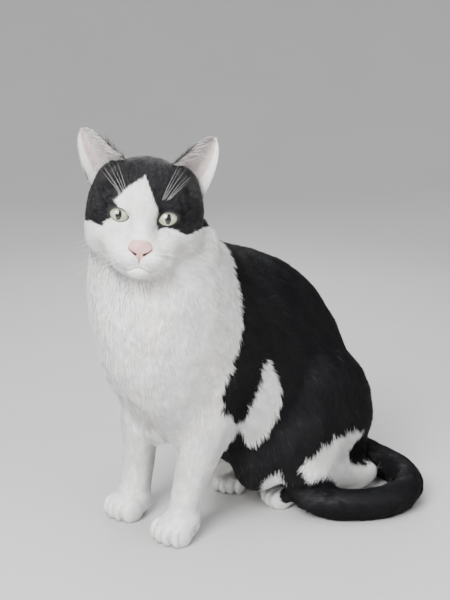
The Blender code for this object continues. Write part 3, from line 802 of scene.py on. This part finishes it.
def build_skin():
    """The whole skin with both ears, and the fields that its material and its coat read."""
    mesh = flesh_as_one()
    write_points(mesh, even_out(mesh, read_points(mesh), 0.5, SMOOTH_ROUNDS))
    for area in range(3):
        refine(mesh, area)
    shape_skin(mesh)
    fields = [[np.zeros(len(mesh.vertices))] for _ in range(4)]
    with edited(mesh) as bm:
        for side in SIDES:
            points, faces, *values = build_ear(side)
            ear_mesh = mesh_from_arrays("ear", row_of_head(points), faces)
            bm.from_mesh(ear_mesh)
            bpy.data.meshes.remove(ear_mesh)
            for field, value in zip(fields, (*values, np.full(len(points), float(side)))):
                field.append(value)
    mesh.name = "skin"
    mesh.shade_smooth()
    cup, rim, across, ear = (np.concatenate(field) for field in fields)
    body = body_of_row(read_points(mesh))
    local = head_of_body(body)
    add_tone(mesh, skin_tone(body, local, cup, rim, ear != 0))
    add_field(mesh, "bare", np.maximum(nose_leather(local), cup))
    for name, values in (("cup", cup), ("ear", ear), ("rim", rim), ("across", across)):
        add_field(mesh, name, values)
    return new_object("skin", mesh)


def unwrap(obj):
    """An unwrap of the skin's own shape, named OFBake."""
    obj.data.uv_layers.new(name="OFBake")
    bpy.context.view_layer.objects.active = obj
    obj.select_set(True)
    bpy.ops.object.mode_set(mode="EDIT")
    bpy.ops.mesh.select_all(action="SELECT")
    bpy.ops.uv.smart_project(angle_limit=math.radians(66), island_margin=0.001)
    bpy.ops.object.mode_set(mode="OBJECT")
    obj.select_set(False)


# ---------------------------------------------------------------- coat


class Surface:
    """The skin's triangles as arrays, to put roots on."""

    def __init__(self, mesh):
        mesh.calc_loop_triangles()
        self.corners = read(mesh.loop_triangles, "vertices", 3, np.int32)
        loops = read(mesh.loop_triangles, "loops", 3, np.int32)
        self.uv = read(mesh.uv_layers["OFBake"].uv, "vector", 2)[loops]
        self.points = body_of_row(read_points(mesh))
        self.normals = read(mesh.vertex_normals, "vector", 3).astype(float)
        self.fields = {}
        for name in ("cup", "ear", "rim", "across"):
            self.fields[name] = read(mesh.attributes[name].data, "value", 1)[:, 0]
        a, b, c = self.points[self.corners].transpose(1, 0, 2)
        self.areas = 0.5 * np.linalg.norm(np.cross(b - a, c - a), axis=1)

    def scatter(self, rng, densities):
        """Random roots, at so many for each mm2 of each triangle: a dictionary of arrays."""
        count = rng.poisson(self.areas * densities)
        chosen = np.repeat(np.arange(len(count)), count)
        r = rng.random((len(chosen), 2))
        root = np.sqrt(r[:, 0])
        weights = np.stack((1 - root, root * (1 - r[:, 1]), root * r[:, 1]), axis=1)[:, :, None]
        corners = self.corners[chosen]
        made = {
            "at": (self.points[corners] * weights).sum(axis=1),
            "normal": unit((self.normals[corners] * weights).sum(axis=1)),
            "uv": (self.uv[chosen] * weights).sum(axis=1),
        }
        for name, values in self.fields.items():
            made[name] = (values[corners] * weights[:, :, 0]).sum(axis=1)
        return made


def triangle_density(surface):
    """How many tufts for each mm2 at each triangle of the skin: none on bare places."""
    middle = surface.points[surface.corners].mean(axis=1)
    local = head_of_body(middle)
    length = coat_at(middle)[1]
    density = 0.96 + 0.95 * (1 - smooth_step(length, 3, 11))
    on_head = 1.15 + 1.45 * (1 - smooth_step(from_muzzle(local), 15, 60))
    density = np.where(head_share(local) > 0.5, on_head, density)
    ear = np.abs(surface.fields["ear"][surface.corners]).max(axis=1) > 0.5
    cup = surface.fields["cup"][surface.corners].min(axis=1)
    density = np.where(ear, np.where(cup > 0.3, 1.6, 2.3), density)
    bare = (nose_leather(local) > 0.3) | (lip_line(local) > 0.4) | (nostril(local) > 0.1)
    density[bare | (middle[:, 2] < 1.2) | over_eye(local)] = 0
    return density


def along_skin(way, normal):
    return unit(way - (way * normal).sum(axis=1)[:, None] * normal)


def nearest_of(points, places):
    """The number of the point nearest to each place."""
    tree = KDTree(len(points))
    for k, point in enumerate(points):
        tree.insert(point, k)
    tree.balance()
    return [tree.find(place)[1] for place in places]


def keep_over_skin(surface, roots, lie):
    """Turns the tufts up in hollows and down over bulges, so that all end as far over the skin."""
    normal, length, lift = roots["normal"], lie["length"], lie["lift"]
    way = along_skin(lie["way"], normal)
    tip = roots["at"] + towards(way, normal, lift) * length[:, None]
    nearest = nearest_of(surface.points, tip)
    height = ((tip - surface.points[nearest]) * surface.normals[nearest]).sum(axis=1)
    lie["lift"] = np.clip(lift + (length * lift - height) / length, 0.04, 0.7)


def lie_of_ears(roots, local, lie):
    """On the ears the coat runs to the tip, very short; inside it runs out from the inner edge."""
    side = np.sign(roots["ear"])[:, None]
    to_tip = unit(side * (60, 0, 0) + (0, 18, 80) - local)
    outwards = side * (0.85, 0, 0) + (0, 0.4, 0.1)
    inner = smooth_step(roots["across"], 0.25, 0.6) * (roots["cup"] > 0.5)
    low = 1 - smooth_step(local[:, 2], 26, 48)
    ear = {
        "way": unit(blend(to_tip, outwards, inner[:, None])) @ HEAD.T,
        "length": 2.2 + 3.5 * low + 3.0 * inner,
        "lift": 0.13 + 0.12 * inner,
        "width": np.full(len(low), 0.30),
    }
    on_ear = np.abs(roots["ear"]) > 0.5
    for name, values in ear.items():
        lie[name][on_ear] = values[on_ear]


def pick(arrays, mask):
    return {name: values[mask] for name, values in arrays.items()}


# The faces of a blade with a bend and of one without: points 0 to 2 are the root's, 6 is the tip.
BENT = [(0, 4, 3), (0, 1, 4), (1, 5, 4), (1, 2, 5), (2, 3, 5), (2, 0, 3)]
BENT += [(3, 4, 6), (4, 5, 6), (5, 3, 6), (0, 2, 1)]
STRAIGHT = [(0, 1, 3), (1, 2, 3), (2, 0, 3), (0, 2, 1)]


def blades(name, roots, lie, clump, bent_share, tone, rng):
    """Tapered solid tufts as one mesh: three-sided, lying along the skin, tips gathered in clumps."""
    at, normal, lift = roots["at"], roots["normal"], lie["lift"]
    count = len(at)
    way = along_skin(lie["way"], normal)
    side = np.cross(normal, way)
    half = (lie["length"] / 2)[:, None]
    middle = at + half * towards(way, normal, 1.5 * lift)
    tip = middle + half * towards(way, normal, 0.5 * lift)
    if clump > 0:
        guides = np.nonzero(rng.random(count) < GUIDE_SHARE)[0]
        nearest = guides[nearest_of(at[guides], at)]
        close = 1 - smooth_step(np.linalg.norm(at[nearest] - at, axis=1), 4, 8)
        pull = (clump * close * rng.uniform(0.4, 1.2, count))[:, None]
        tip = tip + (tip[nearest] - tip) * pull
        middle = middle + (middle[nearest] - middle) * pull * 0.35
    rings = []
    for centre, share in ((at - normal * ROOT_DEPTH, 1.0), (middle, BLADE_WAIST)):
        wide = (lie["width"] * share / 2)[:, None]
        rings += [centre - side * wide, centre + side * wide, centre + normal * wide * BLADE_HEIGHT]
    stack = np.stack([*rings, tip], axis=1)
    stack[:, :, 2] = np.maximum(stack[:, :, 2], FLOOR_GAP)
    # Shade each blade mostly as the skin under it, so that the coat looks soft.
    lean = np.stack((-side, side, side * 0, -side, side, side * 0, way * 0.4), axis=1)
    shade = unit(normal[:, None, :] + lean * SHADE_LEAN + way[:, None, :] * 0.1)
    along = np.array((0, 0, 0, 0.6, 0.6, 0.6, 1.0))[:, None]
    # The roots are painted darker than the tips: painted shade deep in the coat, and on black tufts
    # also a painted sheen towards the tips.
    root_shade = np.where(tone[:, :1] > 0.2, 0.96, 0.75)[:, :, None]
    colour = tone[:, None, :] * (root_shade + (1 - root_shade) * along)
    angle = rng.uniform(0, 2 * math.pi, count)[:, None] + np.arange(7) * 2 * math.pi / 7
    patch = roots["uv"][:, None, :] + PATCH * np.stack((np.cos(angle), np.sin(angle)), axis=2)
    bent = rng.random(count) < bent_share
    fields = (stack, shade, colour, patch)
    parts, faces, start = [], [], 0
    for mask, corners, pattern in ((bent, range(7), BENT), (~bent, (0, 1, 2, 6), STRAIGHT)):
        chosen = np.ix_(mask, corners)
        parts.append([values[chosen].reshape(-1, values.shape[2]) for values in fields])
        triangles = np.arange(mask.sum())[:, None, None] * len(corners) + np.array(pattern) + start
        faces.append(triangles.reshape(-1, 3))
        start += mask.sum() * len(corners)
    faces = np.concatenate(faces)
    points, normals, colours, patches = (np.concatenate(both) for both in zip(*parts))
    mesh = mesh_from_arrays(name, row_of_body(points), faces)
    mesh.normals_split_custom_set_from_vertices(normals)
    add_tone(mesh, colours)
    write(mesh.uv_layers.new(name="OFBake").uv, "vector", patches[faces.ravel()])
    return new_object(name, mesh)


def coat_tone(at, rng):
    """Each tuft's colour: black or white by the markings, with ragged borders and some variety."""
    face = head_share(head_of_body(at))
    ragged = (Ripple(9, 31)(at) * 1.1 + rng.normal(0, 0.9, len(at))) * (1 - 0.55 * face)
    white = (white_margin(at) + ragged > 0)[:, None]
    vary = rng.uniform(0.95, 1.05, (len(at), 1))
    grey = rng.uniform(0.75, 1.4, (len(at), 1))
    # The folds between the toes are painted darker on the tufts too: painted shade.
    fold_shade = 1 - 0.3 * toe_fold_shade(at)[:, None]
    warm = 1 + 0.008 * Ripple(40, 32)(at)[:, None] * np.array((1, 0, -1.5))
    return np.where(white, np.clip(WHITE * vary * warm * fold_shade, 0, 0.9), BLACK * grey)


def ear_tone(roots, rng):
    """Pale inside the cups, white on the rims, black on the backs; dark hairs at the inner edge."""
    count = len(roots["at"])
    chance = rng.random(count)
    pale = WHITE * rng.uniform(0.42, 0.88, (count, 1)) * (1, 0.95, 0.94)
    white = WHITE * rng.uniform(0.92, 1.05, (count, 1))
    black = BLACK * rng.uniform(0.7, 1.6, (count, 1))
    dark_share = 0.6 * smooth_step(roots["across"], 0.66, 0.95)
    inside = (roots["cup"] > 0.5) & (chance > dark_share)
    return np.where((roots["rim"] > chance)[:, None], white, np.where(inside[:, None], pale, black))


def build_coat(skin):
    """All the tufts, as joined meshes for each region."""
    rng = np.random.default_rng(SEED)
    surface = Surface(skin.data)
    roots = surface.scatter(rng, triangle_density(surface))
    at = roots["at"]
    way, length, depth = coat_at(at)
    local = head_of_body(at)
    on_head = head_share(local)
    turn = 0.20 * Ripple(38, 11)(at) + 0.14 * Ripple(13, 12)(at) + rng.normal(0, 0.09, len(at))
    turn = turn * (1 - 0.65 * on_head)
    way = unit(towards(way, np.cross(roots["normal"], way), turn))
    lift = np.arcsin(np.clip(depth / length, 0.05, 0.5)) * rng.uniform(0.65, 1.15, len(at))
    lift = lift * (1 + 0.18 * Ripple(17, 13)(at)) * (1 - 0.4 * smooth_step(length, 10, 15))
    length = length * rng.uniform(0.75, 1.1, len(at))
    ends = head_of_body(at + way * length[:, None])
    length = np.where(over_eye(ends), length * 0.3, length)
    lie = {"way": way, "length": length, "lift": lift, "width": 0.14 + 0.052 * length}
    lie_of_ears(roots, local, lie)
    keep_over_skin(surface, roots, lie)
    out, (_, back, up) = out_of_middle(at), at.T
    left, hind = out > 0, (back > 92) & (up < 150) & (np.abs(out) > 30)
    # A tuft shows its colour where it ends, so the markings are read near its tip.
    coloured = at + lie["way"] * (0.6 * lie["length"])[:, None]
    made = {}
    free = np.ones(len(at), bool)
    for name, mask, clump, bent in (
        ("ears", np.abs(roots["ear"]) > 0.5, 0.0, 0.0),
        ("tail", tail_at(at)[0] > 0.5, 0.25, 0.05),
        ("face", (on_head > 0.5) & (local[:, 1] < -8), 0.12, 0.0),
        ("crown", on_head > 0.5, 0.2, 0.0),
        ("forelegs", (up < 118) & (back < 74) & (np.abs(out) > 12), 0.15, 0.0),
        ("hindleg_left", hind & left, 0.25, 0.05),
        ("hindleg_right", hind & (out < 0), 0.25, 0.05),
        ("neck", (back < 80) & (up > 215), 0.3, 0.12),
        ("chest_left", (back < 45) & left, 0.3, 0.12),
        ("chest_right", back < 45, 0.3, 0.12),
        ("back_left", left & (up > 165), 0.25, 0.06),
        ("back_right", up > 165, 0.25, 0.06),
        ("rump_left", left, 0.25, 0.06),
        ("rump_right", free, 0.25, 0.06),
    ):
        mask = free & mask
        free = free & ~mask
        part = pick(roots, mask)
        tone = ear_tone(part, rng) if name == "ears" else coat_tone(coloured[mask], rng)
        made[name] = blades("coat_" + name, part, pick(lie, mask), clump, bent, tone, rng)
    return made


# ---------------------------------------------------------------- single hairs

HAIR_SIDES = 5
HAIR_STEPS = 9


def hair(root, way, bend, length, thick):
    """A long tapered hair in the head frame; bend is how its end leaves a straight line."""
    way = unit(np.array(way, float))
    side = unit(np.cross(way, (0.3, 0.2, 0.9)))
    angles = np.arange(HAIR_SIDES) * 2 * math.pi / HAIR_SIDES
    ring = towards(side, np.cross(way, side), angles)
    t = np.linspace(0, 1, HAIR_STEPS)[:, None, None]
    centre = root + way * length * t + np.array(bend, float) * length * t**2
    rings = centre + ring * (thick / 2 * (1 - 0.86 * t))
    tip = rings[-1].mean(axis=0) + way * 0.4
    return np.concatenate((rings.reshape(-1, 3), [tip]))


def join_hairs(name, hairs):
    """Hairs as one mesh: each has its sides, then a point at the tip and a flat end."""
    quads = grid_faces(HAIR_STEPS, HAIR_SIDES, (False, True))
    tip = HAIR_STEPS * HAIR_SIDES
    ring = [tip - HAIR_SIDES + k for k in range(HAIR_SIDES)]
    ends = [(a, b, tip) for a, b in zip(ring, ring[1:] + ring[:1])]
    ends += [(0, k + 1, k) for k in range(1, HAIR_SIDES - 1)]
    faces = np.concatenate((quads[:, (0, 3, 2, 0, 2, 1)].reshape(-1, 3), ends))
    faces = (faces + np.arange(len(hairs))[:, None, None] * (tip + 1)).reshape(-1, 3)
    return new_object(name, mesh_from_arrays(name, row_of_head(np.concatenate(hairs)), faces))


def build_whiskers(skin):
    """Whiskers of the muzzle, brows and cheeks, rooted on the skin."""
    rng = np.random.default_rng(SEED + 1)
    tree = BVHTree.FromObject(skin, bpy.context.evaluated_depsgraph_get())
    back = Vector(HEAD @ (0, 1.0, 0))

    def root_at(x, z):
        hit = tree.ray_cast(Vector(row_of_head((x, -90.0, z))), back)[0]
        return head_of_body(body_of_row(np.array(hit))) + (0, 0.6, 0)

    hairs = []
    for side in SIDES:
        for row, count in enumerate((4, 4, 4, 2)):
            for k in range(count):
                x = side * (9.5 + 3.0 * k + rng.uniform(-0.4, 0.4))
                z = -29.5 - 3.1 * row + rng.uniform(-0.4, 0.4)
                rise = 0.08 - 0.19 * row + rng.uniform(-0.06, 0.06)
                way = (side, -0.26 + 0.14 * k, rise)
                bend = (0, 0.32 + 0.05 * k, -0.24 - 0.03 * row)
                long = 43 - 3.5 * abs(row - 1) - 3 * (3 - k) + rng.uniform(-4, 3)
                hairs.append(hair(root_at(x, z), way, bend, long, 0.22))
        # Brow hairs, the longest ones nearest the middle.
        for k in range(6):
            root = root_at(side * (14.0 + 1.2 * k), 13.0 + 0.8 * (k % 3))
            way = (side * (0.34 + 0.08 * k) + rng.uniform(-0.06, 0.06), -0.30, 1.0)
            bend = (side * rng.uniform(0, 0.12), 0.26, -0.04)
            hairs.append(hair(root, way, bend, 40 - 3 * k + rng.uniform(-5, 3), 0.17))
        for k in range(2):
            root = root_at(side * (37 + 3 * k), -20 - 6 * k)
            hairs.append(hair(root, (side, -0.2, -0.25), (0, 0.25, -0.25), 18, 0.2))
    return join_hairs("whiskers", hairs)


def build_ear_hairs(name, kinds):
    """Long hairs of the ears: how many on each, rows and columns of their roots, way and length."""
    rng = np.random.default_rng(SEED + 2)
    hairs = []
    for count, rows, columns, ways, lengths in kinds:
        for side in SIDES:
            sheet = ear_sheet(side)
            for _ in range(count):
                row = int(rng.uniform(*rows) * EAR_ROWS)
                column = min(int(rng.uniform(*columns) * EAR_COLUMNS), EAR_COLUMNS - 1)
                way = np.array([rng.uniform(*span) for span in ways]) * (side, 1, 1)
                bend = (side * 0.1, 0.06, 0.0)
                hairs.append(hair(sheet[row, column], way, bend, rng.uniform(*lengths), 0.2))
    return join_hairs(name, hairs)


# Pale hairs from the inner edge across the ear's mouth and from its floor; black ones at its base.
PALE_EAR_HAIRS = [
    (110, (0.10, 0.62), (0.80, 0.98), ((0.5, 1.0), (-0.20, 0.05), (0.1, 0.5)), (6, 13)),
    (50, (0.10, 0.35), (0.15, 0.75), ((0.1, 0.5), (-0.5, -0.2), (0.3, 0.9)), (5, 10)),
]
BLACK_EAR_HAIRS = [
    (90, (0.05, 0.50), (0.94, 1.0), ((0.1, 0.5), (-0.1, 0.1), (0.4, 1.0)), (4, 9)),
]


# ---------------------------------------------------------------- eyes


def build_eye(side):
    """An eyeball with a slight bulge over the iris; its own places colour it."""
    mesh = bpy.data.meshes.new("eye")
    with edited(mesh) as bm:
        bmesh.ops.create_uvsphere(bm, u_segments=72, v_segments=48, radius=1.0)
        bmesh.ops.rotate(bm, verts=bm.verts, matrix=Matrix.Rotation(math.radians(90), 3, "X"))
    local = read_points(mesh)
    dome = EYE_DOME * np.exp(-((np.hypot(local[:, 0], local[:, 2]) / 0.55) ** 2))
    local = local * (EYE_RADIUS + dome * (local[:, 1] < 0))[:, None]
    add_field(mesh, "place", local * (side, 1, 1), "FLOAT_VECTOR", "vector")
    write_points(mesh, row_of_head(local + EYE * (side, 1, 1)))
    mesh.shade_smooth()
    return new_object("eyeball_left" if side > 0 else "eyeball_right", mesh)


RIM_STEPS = 72
RIM_SIDES = 8


def build_rims():
    """The dark edges of the lids, as closed tubes on the eyeballs."""
    points, faces = [], []
    angles = np.arange(RIM_STEPS) * 2 * math.pi / RIM_STEPS
    cos, sin = np.cos(angles), np.sin(angles)
    power = 2 / lid_power(cos)
    u = LID_HALF * np.sign(cos) * np.abs(cos) ** power
    w = lid_base(u) + LID_HIGH * np.sign(sin) * np.abs(sin) ** power
    level = np.sqrt(np.clip((EYE_RADIUS + EYE_DOME) ** 2 - u**2 - w**2, 1, None))
    thick = 0.34 + 0.20 * smooth_step(-u, 5, 8) + 0.16 * smooth_step(sin, 0, 0.5)
    for number, side in enumerate(SIDES):
        line = np.stack((u * side, -level, w), axis=1)
        out = unit(line)
        along = unit(np.roll(line, -1, axis=0) - np.roll(line, 1, axis=0))
        across = np.cross(out, along)
        for k in range(RIM_SIDES):
            angle = 2 * math.pi * k / RIM_SIDES
            ring = line + (out * math.cos(angle) * 0.9 + across * math.sin(angle)) * thick[:, None]
            points.append(ring + EYE * (side, 1, 1))
        faces.append(grid_faces(RIM_SIDES, RIM_STEPS, (True, True)) + number * RIM_SIDES * RIM_STEPS)
    points = row_of_head(np.concatenate(points))
    mesh = mesh_from_arrays("lid_rims", points, np.concatenate(faces))
    with edited(mesh) as bm:
        bmesh.ops.recalc_face_normals(bm, faces=bm.faces)
    return new_object("lid_rims", mesh)


# ---------------------------------------------------------------- materials


class Nodes:
    """A material's node tree with short calls; colours are tuples of three."""

    def __init__(self, name):
        self.material = bpy.data.materials.new(name)
        self.material.use_nodes = True
        self.tree = self.material.node_tree
        self.shader = self.tree.nodes["Principled BSDF"]

    def feed(self, socket, value):
        if isinstance(value, bpy.types.NodeSocket):
            self.tree.links.new(value, socket)
        else:
            socket.default_value = (*value, 1.0) if isinstance(value, tuple) else value

    def new(self, kind, inputs=None, **settings):
        """A node with its settings, and with values or other nodes' outputs as its inputs."""
        node = self.tree.nodes.new(kind)
        for name, value in settings.items():
            setattr(node, name, value)
        for name, value in (inputs or {}).items():
            self.feed(node.inputs[name], value)
        return node

    def math(self, operation, a, b=0.0):
        return self.new("ShaderNodeMath", {0: a, 1: b}, operation=operation).outputs[0]

    def mix(self, share, a, b, blend_type="MIX"):
        inputs = {"Factor": share, 6: a, 7: b}
        return self.new("ShaderNodeMix", inputs, data_type="RGBA", blend_type=blend_type).outputs[2]

    def attribute(self, name, output="Color"):
        return self.new("ShaderNodeAttribute", attribute_name=name).outputs[output]

    def noise(self, scale, detail=3.0, vector=None, roughness=0.5):
        vector = vector or self.new("ShaderNodeTexCoord").outputs["Object"]
        inputs = {"Vector": vector, "Scale": scale, "Detail": detail, "Roughness": roughness}
        return self.new("ShaderNodeTexNoise", inputs).outputs["Fac"]

    def ramp(self, value, low, high, to_low=0.0, to_high=1.0):
        inputs = {"Value": value, "From Min": low, "From Max": high}
        inputs |= {"To Min": to_low, "To Max": to_high}
        node = self.new("ShaderNodeMapRange", inputs, interpolation_type="SMOOTHSTEP")
        return node.outputs["Result"]

    def finish(self, **values):
        """Sets or feeds the shader's inputs and returns the material."""
        for name, value in values.items():
            self.feed(self.shader.inputs[name.replace("_", " ")], value)
        return self.material


def coat_material():
    n = Nodes("coat")
    patches = n.ramp(n.noise(90, 2), 0.3, 0.7, 0.90, 1.06)
    colour = n.mix(1.0, n.attribute("tone"), patches, "MULTIPLY")
    rough = n.ramp(n.noise(400, 2), 0.3, 0.7, 0.46, 0.60)
    return n.finish(Base_Color=colour, Roughness=rough, Specular_IOR_Level=0.16)


def skin_material():
    n = Nodes("skin")
    patches = n.ramp(n.noise(140, 3), 0.3, 0.7, 0.88, 1.06)
    colour = n.mix(1.0, n.attribute("tone"), patches, "MULTIPLY")
    rough = n.ramp(n.attribute("bare", "Fac"), 0, 1, 0.75, 0.42)
    inputs = {"Strength": 0.5, "Distance": 0.0004, "Height": n.noise(1500, 4)}
    bump = n.new("ShaderNodeBump", inputs).outputs["Normal"]
    n.finish(Base_Color=colour, Roughness=rough, Normal=bump)
    return n.finish(Sheen_Weight=0.1, Specular_IOR_Level=0.35)


def eye_material():
    """Grey-green iris with radial fibres, dark limb, upright oval pupil, wet surface."""
    n = Nodes("eye")
    place = n.attribute("place", "Vector")
    x, y, z = n.new("ShaderNodeSeparateXYZ", {0: place}).outputs
    radius = n.math("SQRT", n.math("ADD", n.math("POWER", x, 2.0), n.math("POWER", z, 2.0)))
    turns = n.math("MULTIPLY", n.math("ARCTAN2", z, x), 9.0)
    polar = n.new("ShaderNodeCombineXYZ", {0: turns, 1: n.math("MULTIPLY", radius, 0.35)})
    fibres = n.noise(1.6, 5, polar.outputs[0], 0.65)
    blotch = n.noise(0.35, 2, place)
    iris = n.mix(n.ramp(radius, 2.5, 8.0), (0.33, 0.36, 0.22), (0.27, 0.31, 0.22))
    iris = n.mix(n.ramp(fibres, 0.35, 0.7), iris, (0.44, 0.46, 0.34))
    iris = n.mix(n.ramp(blotch, 0.45, 0.75, 0.0, 0.5), iris, (0.26, 0.29, 0.17))
    iris = n.mix(n.ramp(radius, 7.4, 8.8), iris, (0.06, 0.06, 0.04))
    # The upper lid's shadow.
    iris = n.mix(n.ramp(z, 1.0, 5.5, 0.0, 0.75), iris, (0.07, 0.07, 0.05))
    wide = n.math("POWER", n.math("DIVIDE", n.math("SUBTRACT", x, 0.4), 2.65), 2.0)
    tall = n.math("POWER", n.math("DIVIDE", z, 4.4), 2.0)
    pupil = n.math("SQRT", n.math("ADD", wide, tall))
    colour = n.mix(n.ramp(pupil, 0.93, 1.07), (0.004, 0.004, 0.004), iris)
    colour = n.mix(n.ramp(y, -4.0, -2.5), colour, (0.35, 0.30, 0.27))
    n.finish(Base_Color=colour, Roughness=0.22, Specular_IOR_Level=0.5)
    return n.finish(Coat_Weight=1.0, Coat_Roughness=0.03)


def plain_material(name, colour, roughness):
    n = Nodes(name)
    dark, light = (tuple(min(c * share, 1) for c in colour) for share in (0.8, 1.15))
    return n.finish(Base_Color=n.mix(n.noise(300, 2), dark, light), Roughness=roughness)


def dress(obj, material):
    obj.data.materials.append(material)
    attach(obj, "root")


# ---------------------------------------------------------------- stage, light and camera

CAMERA_AZIMUTH = math.radians(42.9)
CAMERA_PITCH = math.radians(12.0)
CAMERA_AT = np.array((644.6, -589.8, 408.5))

# The floor's flat radius, the radius of its bend, its height and its steps, in metres.
FLOOR_FLAT = 1.5
FLOOR_BEND = 1.6
FLOOR_TOP = 1.9
FLOOR_TURNS = 72
BEND_STEPS = 12


def build_stage():
    """A round pale floor that rises in one smooth sweep, the same from every side."""
    profile = [(0.0, 0.0), (FLOOR_FLAT, 0.0)]
    for k in range(1, BEND_STEPS + 1):
        angle = math.pi / 2 * k / BEND_STEPS
        rise = FLOOR_BEND - FLOOR_BEND * math.cos(angle)
        profile.append((FLOOR_FLAT + FLOOR_BEND * math.sin(angle), rise))
    profile.append((FLOOR_FLAT + FLOOR_BEND, FLOOR_TOP))
    turns = [2 * math.pi * k / FLOOR_TURNS for k in range(FLOOR_TURNS)]
    points = [(r * math.cos(t), r * math.sin(t), z) for r, z in profile for t in turns]
    faces = grid_faces(len(profile), FLOOR_TURNS, (False, True))
    floor = new_object("floor", mesh_from_arrays("floor", np.array(points), faces))
    n = Nodes("floor")
    grain = n.mix(n.noise(5, 3), (0.50, 0.495, 0.49), (0.54, 0.535, 0.53))
    floor.data.materials.append(n.finish(Base_Color=grain, Roughness=0.65))


def area_light(name, at, target, size, watts):
    light = bpy.data.lights.new(name, "AREA")
    light.shape = "RECTANGLE"
    light.size = light.size_y = size
    light.energy = watts
    obj = new_object(name, light)
    obj.location = at
    obj.rotation_euler = (Vector(at) - target).to_track_quat("Z", "Y").to_euler()


def build_lights():
    middle = Vector((0, 0, 0.18))
    area_light("key", (0.35, -1.35, 1.15), Vector(row_of_body(HEAD_AT)), 0.9, 68)
    area_light("fill", (1.6, 0.1, 0.8), middle, 1.2, 15)
    area_light("top", (0.1, 0.2, 1.8), middle, 1.4, 17)
    area_light("back", (-1.1, 1.0, 1.0), middle, 0.8, 10)
    world = bpy.data.worlds.new("studio")
    world.use_nodes = True
    inputs = world.node_tree.nodes["Background"].inputs
    inputs["Color"].default_value = (0.80, 0.83, 0.87, 1)
    inputs["Strength"].default_value = 0.56
    bpy.context.scene.world = world


def build_camera():
    data = bpy.data.cameras.new("camera")
    data.lens = 60
    data.sensor_width = 36
    camera = new_object("camera", data)
    camera.location = row_of_body(CAMERA_AT)
    camera.rotation_euler = (math.pi / 2 - CAMERA_PITCH, 0, CAMERA_AZIMUTH)
    bpy.context.scene.camera = camera


# ---------------------------------------------------------------- the whole

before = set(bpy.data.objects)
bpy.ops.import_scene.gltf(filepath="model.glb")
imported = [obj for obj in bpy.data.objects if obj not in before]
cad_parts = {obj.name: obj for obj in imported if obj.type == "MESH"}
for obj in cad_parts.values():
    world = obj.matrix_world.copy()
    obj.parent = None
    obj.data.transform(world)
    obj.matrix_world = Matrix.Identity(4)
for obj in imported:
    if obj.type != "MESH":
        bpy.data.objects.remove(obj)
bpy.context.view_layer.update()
OFFSET = find_offset()

build_camera()
build_lights()
build_stage()

skin = build_skin()
unwrap(skin)
dress(skin, skin_material())
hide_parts(*FLESH, *EARS)

coat = coat_material()
for name, piece in build_coat(skin).items():
    dress(piece, coat)

wet = eye_material()
for side, node in zip(SIDES, EYES):
    ball = build_eye(side)
    dress(ball, wet)
    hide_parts(node)
dress(build_rims(), plain_material("rim", (0.022, 0.016, 0.014), 0.6))
dress(build_whiskers(skin), plain_material("whisker", (0.85, 0.85, 0.83), 0.35))
pale = build_ear_hairs("ear_hairs_pale", PALE_EAR_HAIRS)
dress(pale, plain_material("ear_hair", (0.78, 0.77, 0.75), 0.5))
dark = build_ear_hairs("ear_hairs_black", BLACK_EAR_HAIRS)
dress(dark, plain_material("black_hair", (0.012, 0.012, 0.013), 0.5))
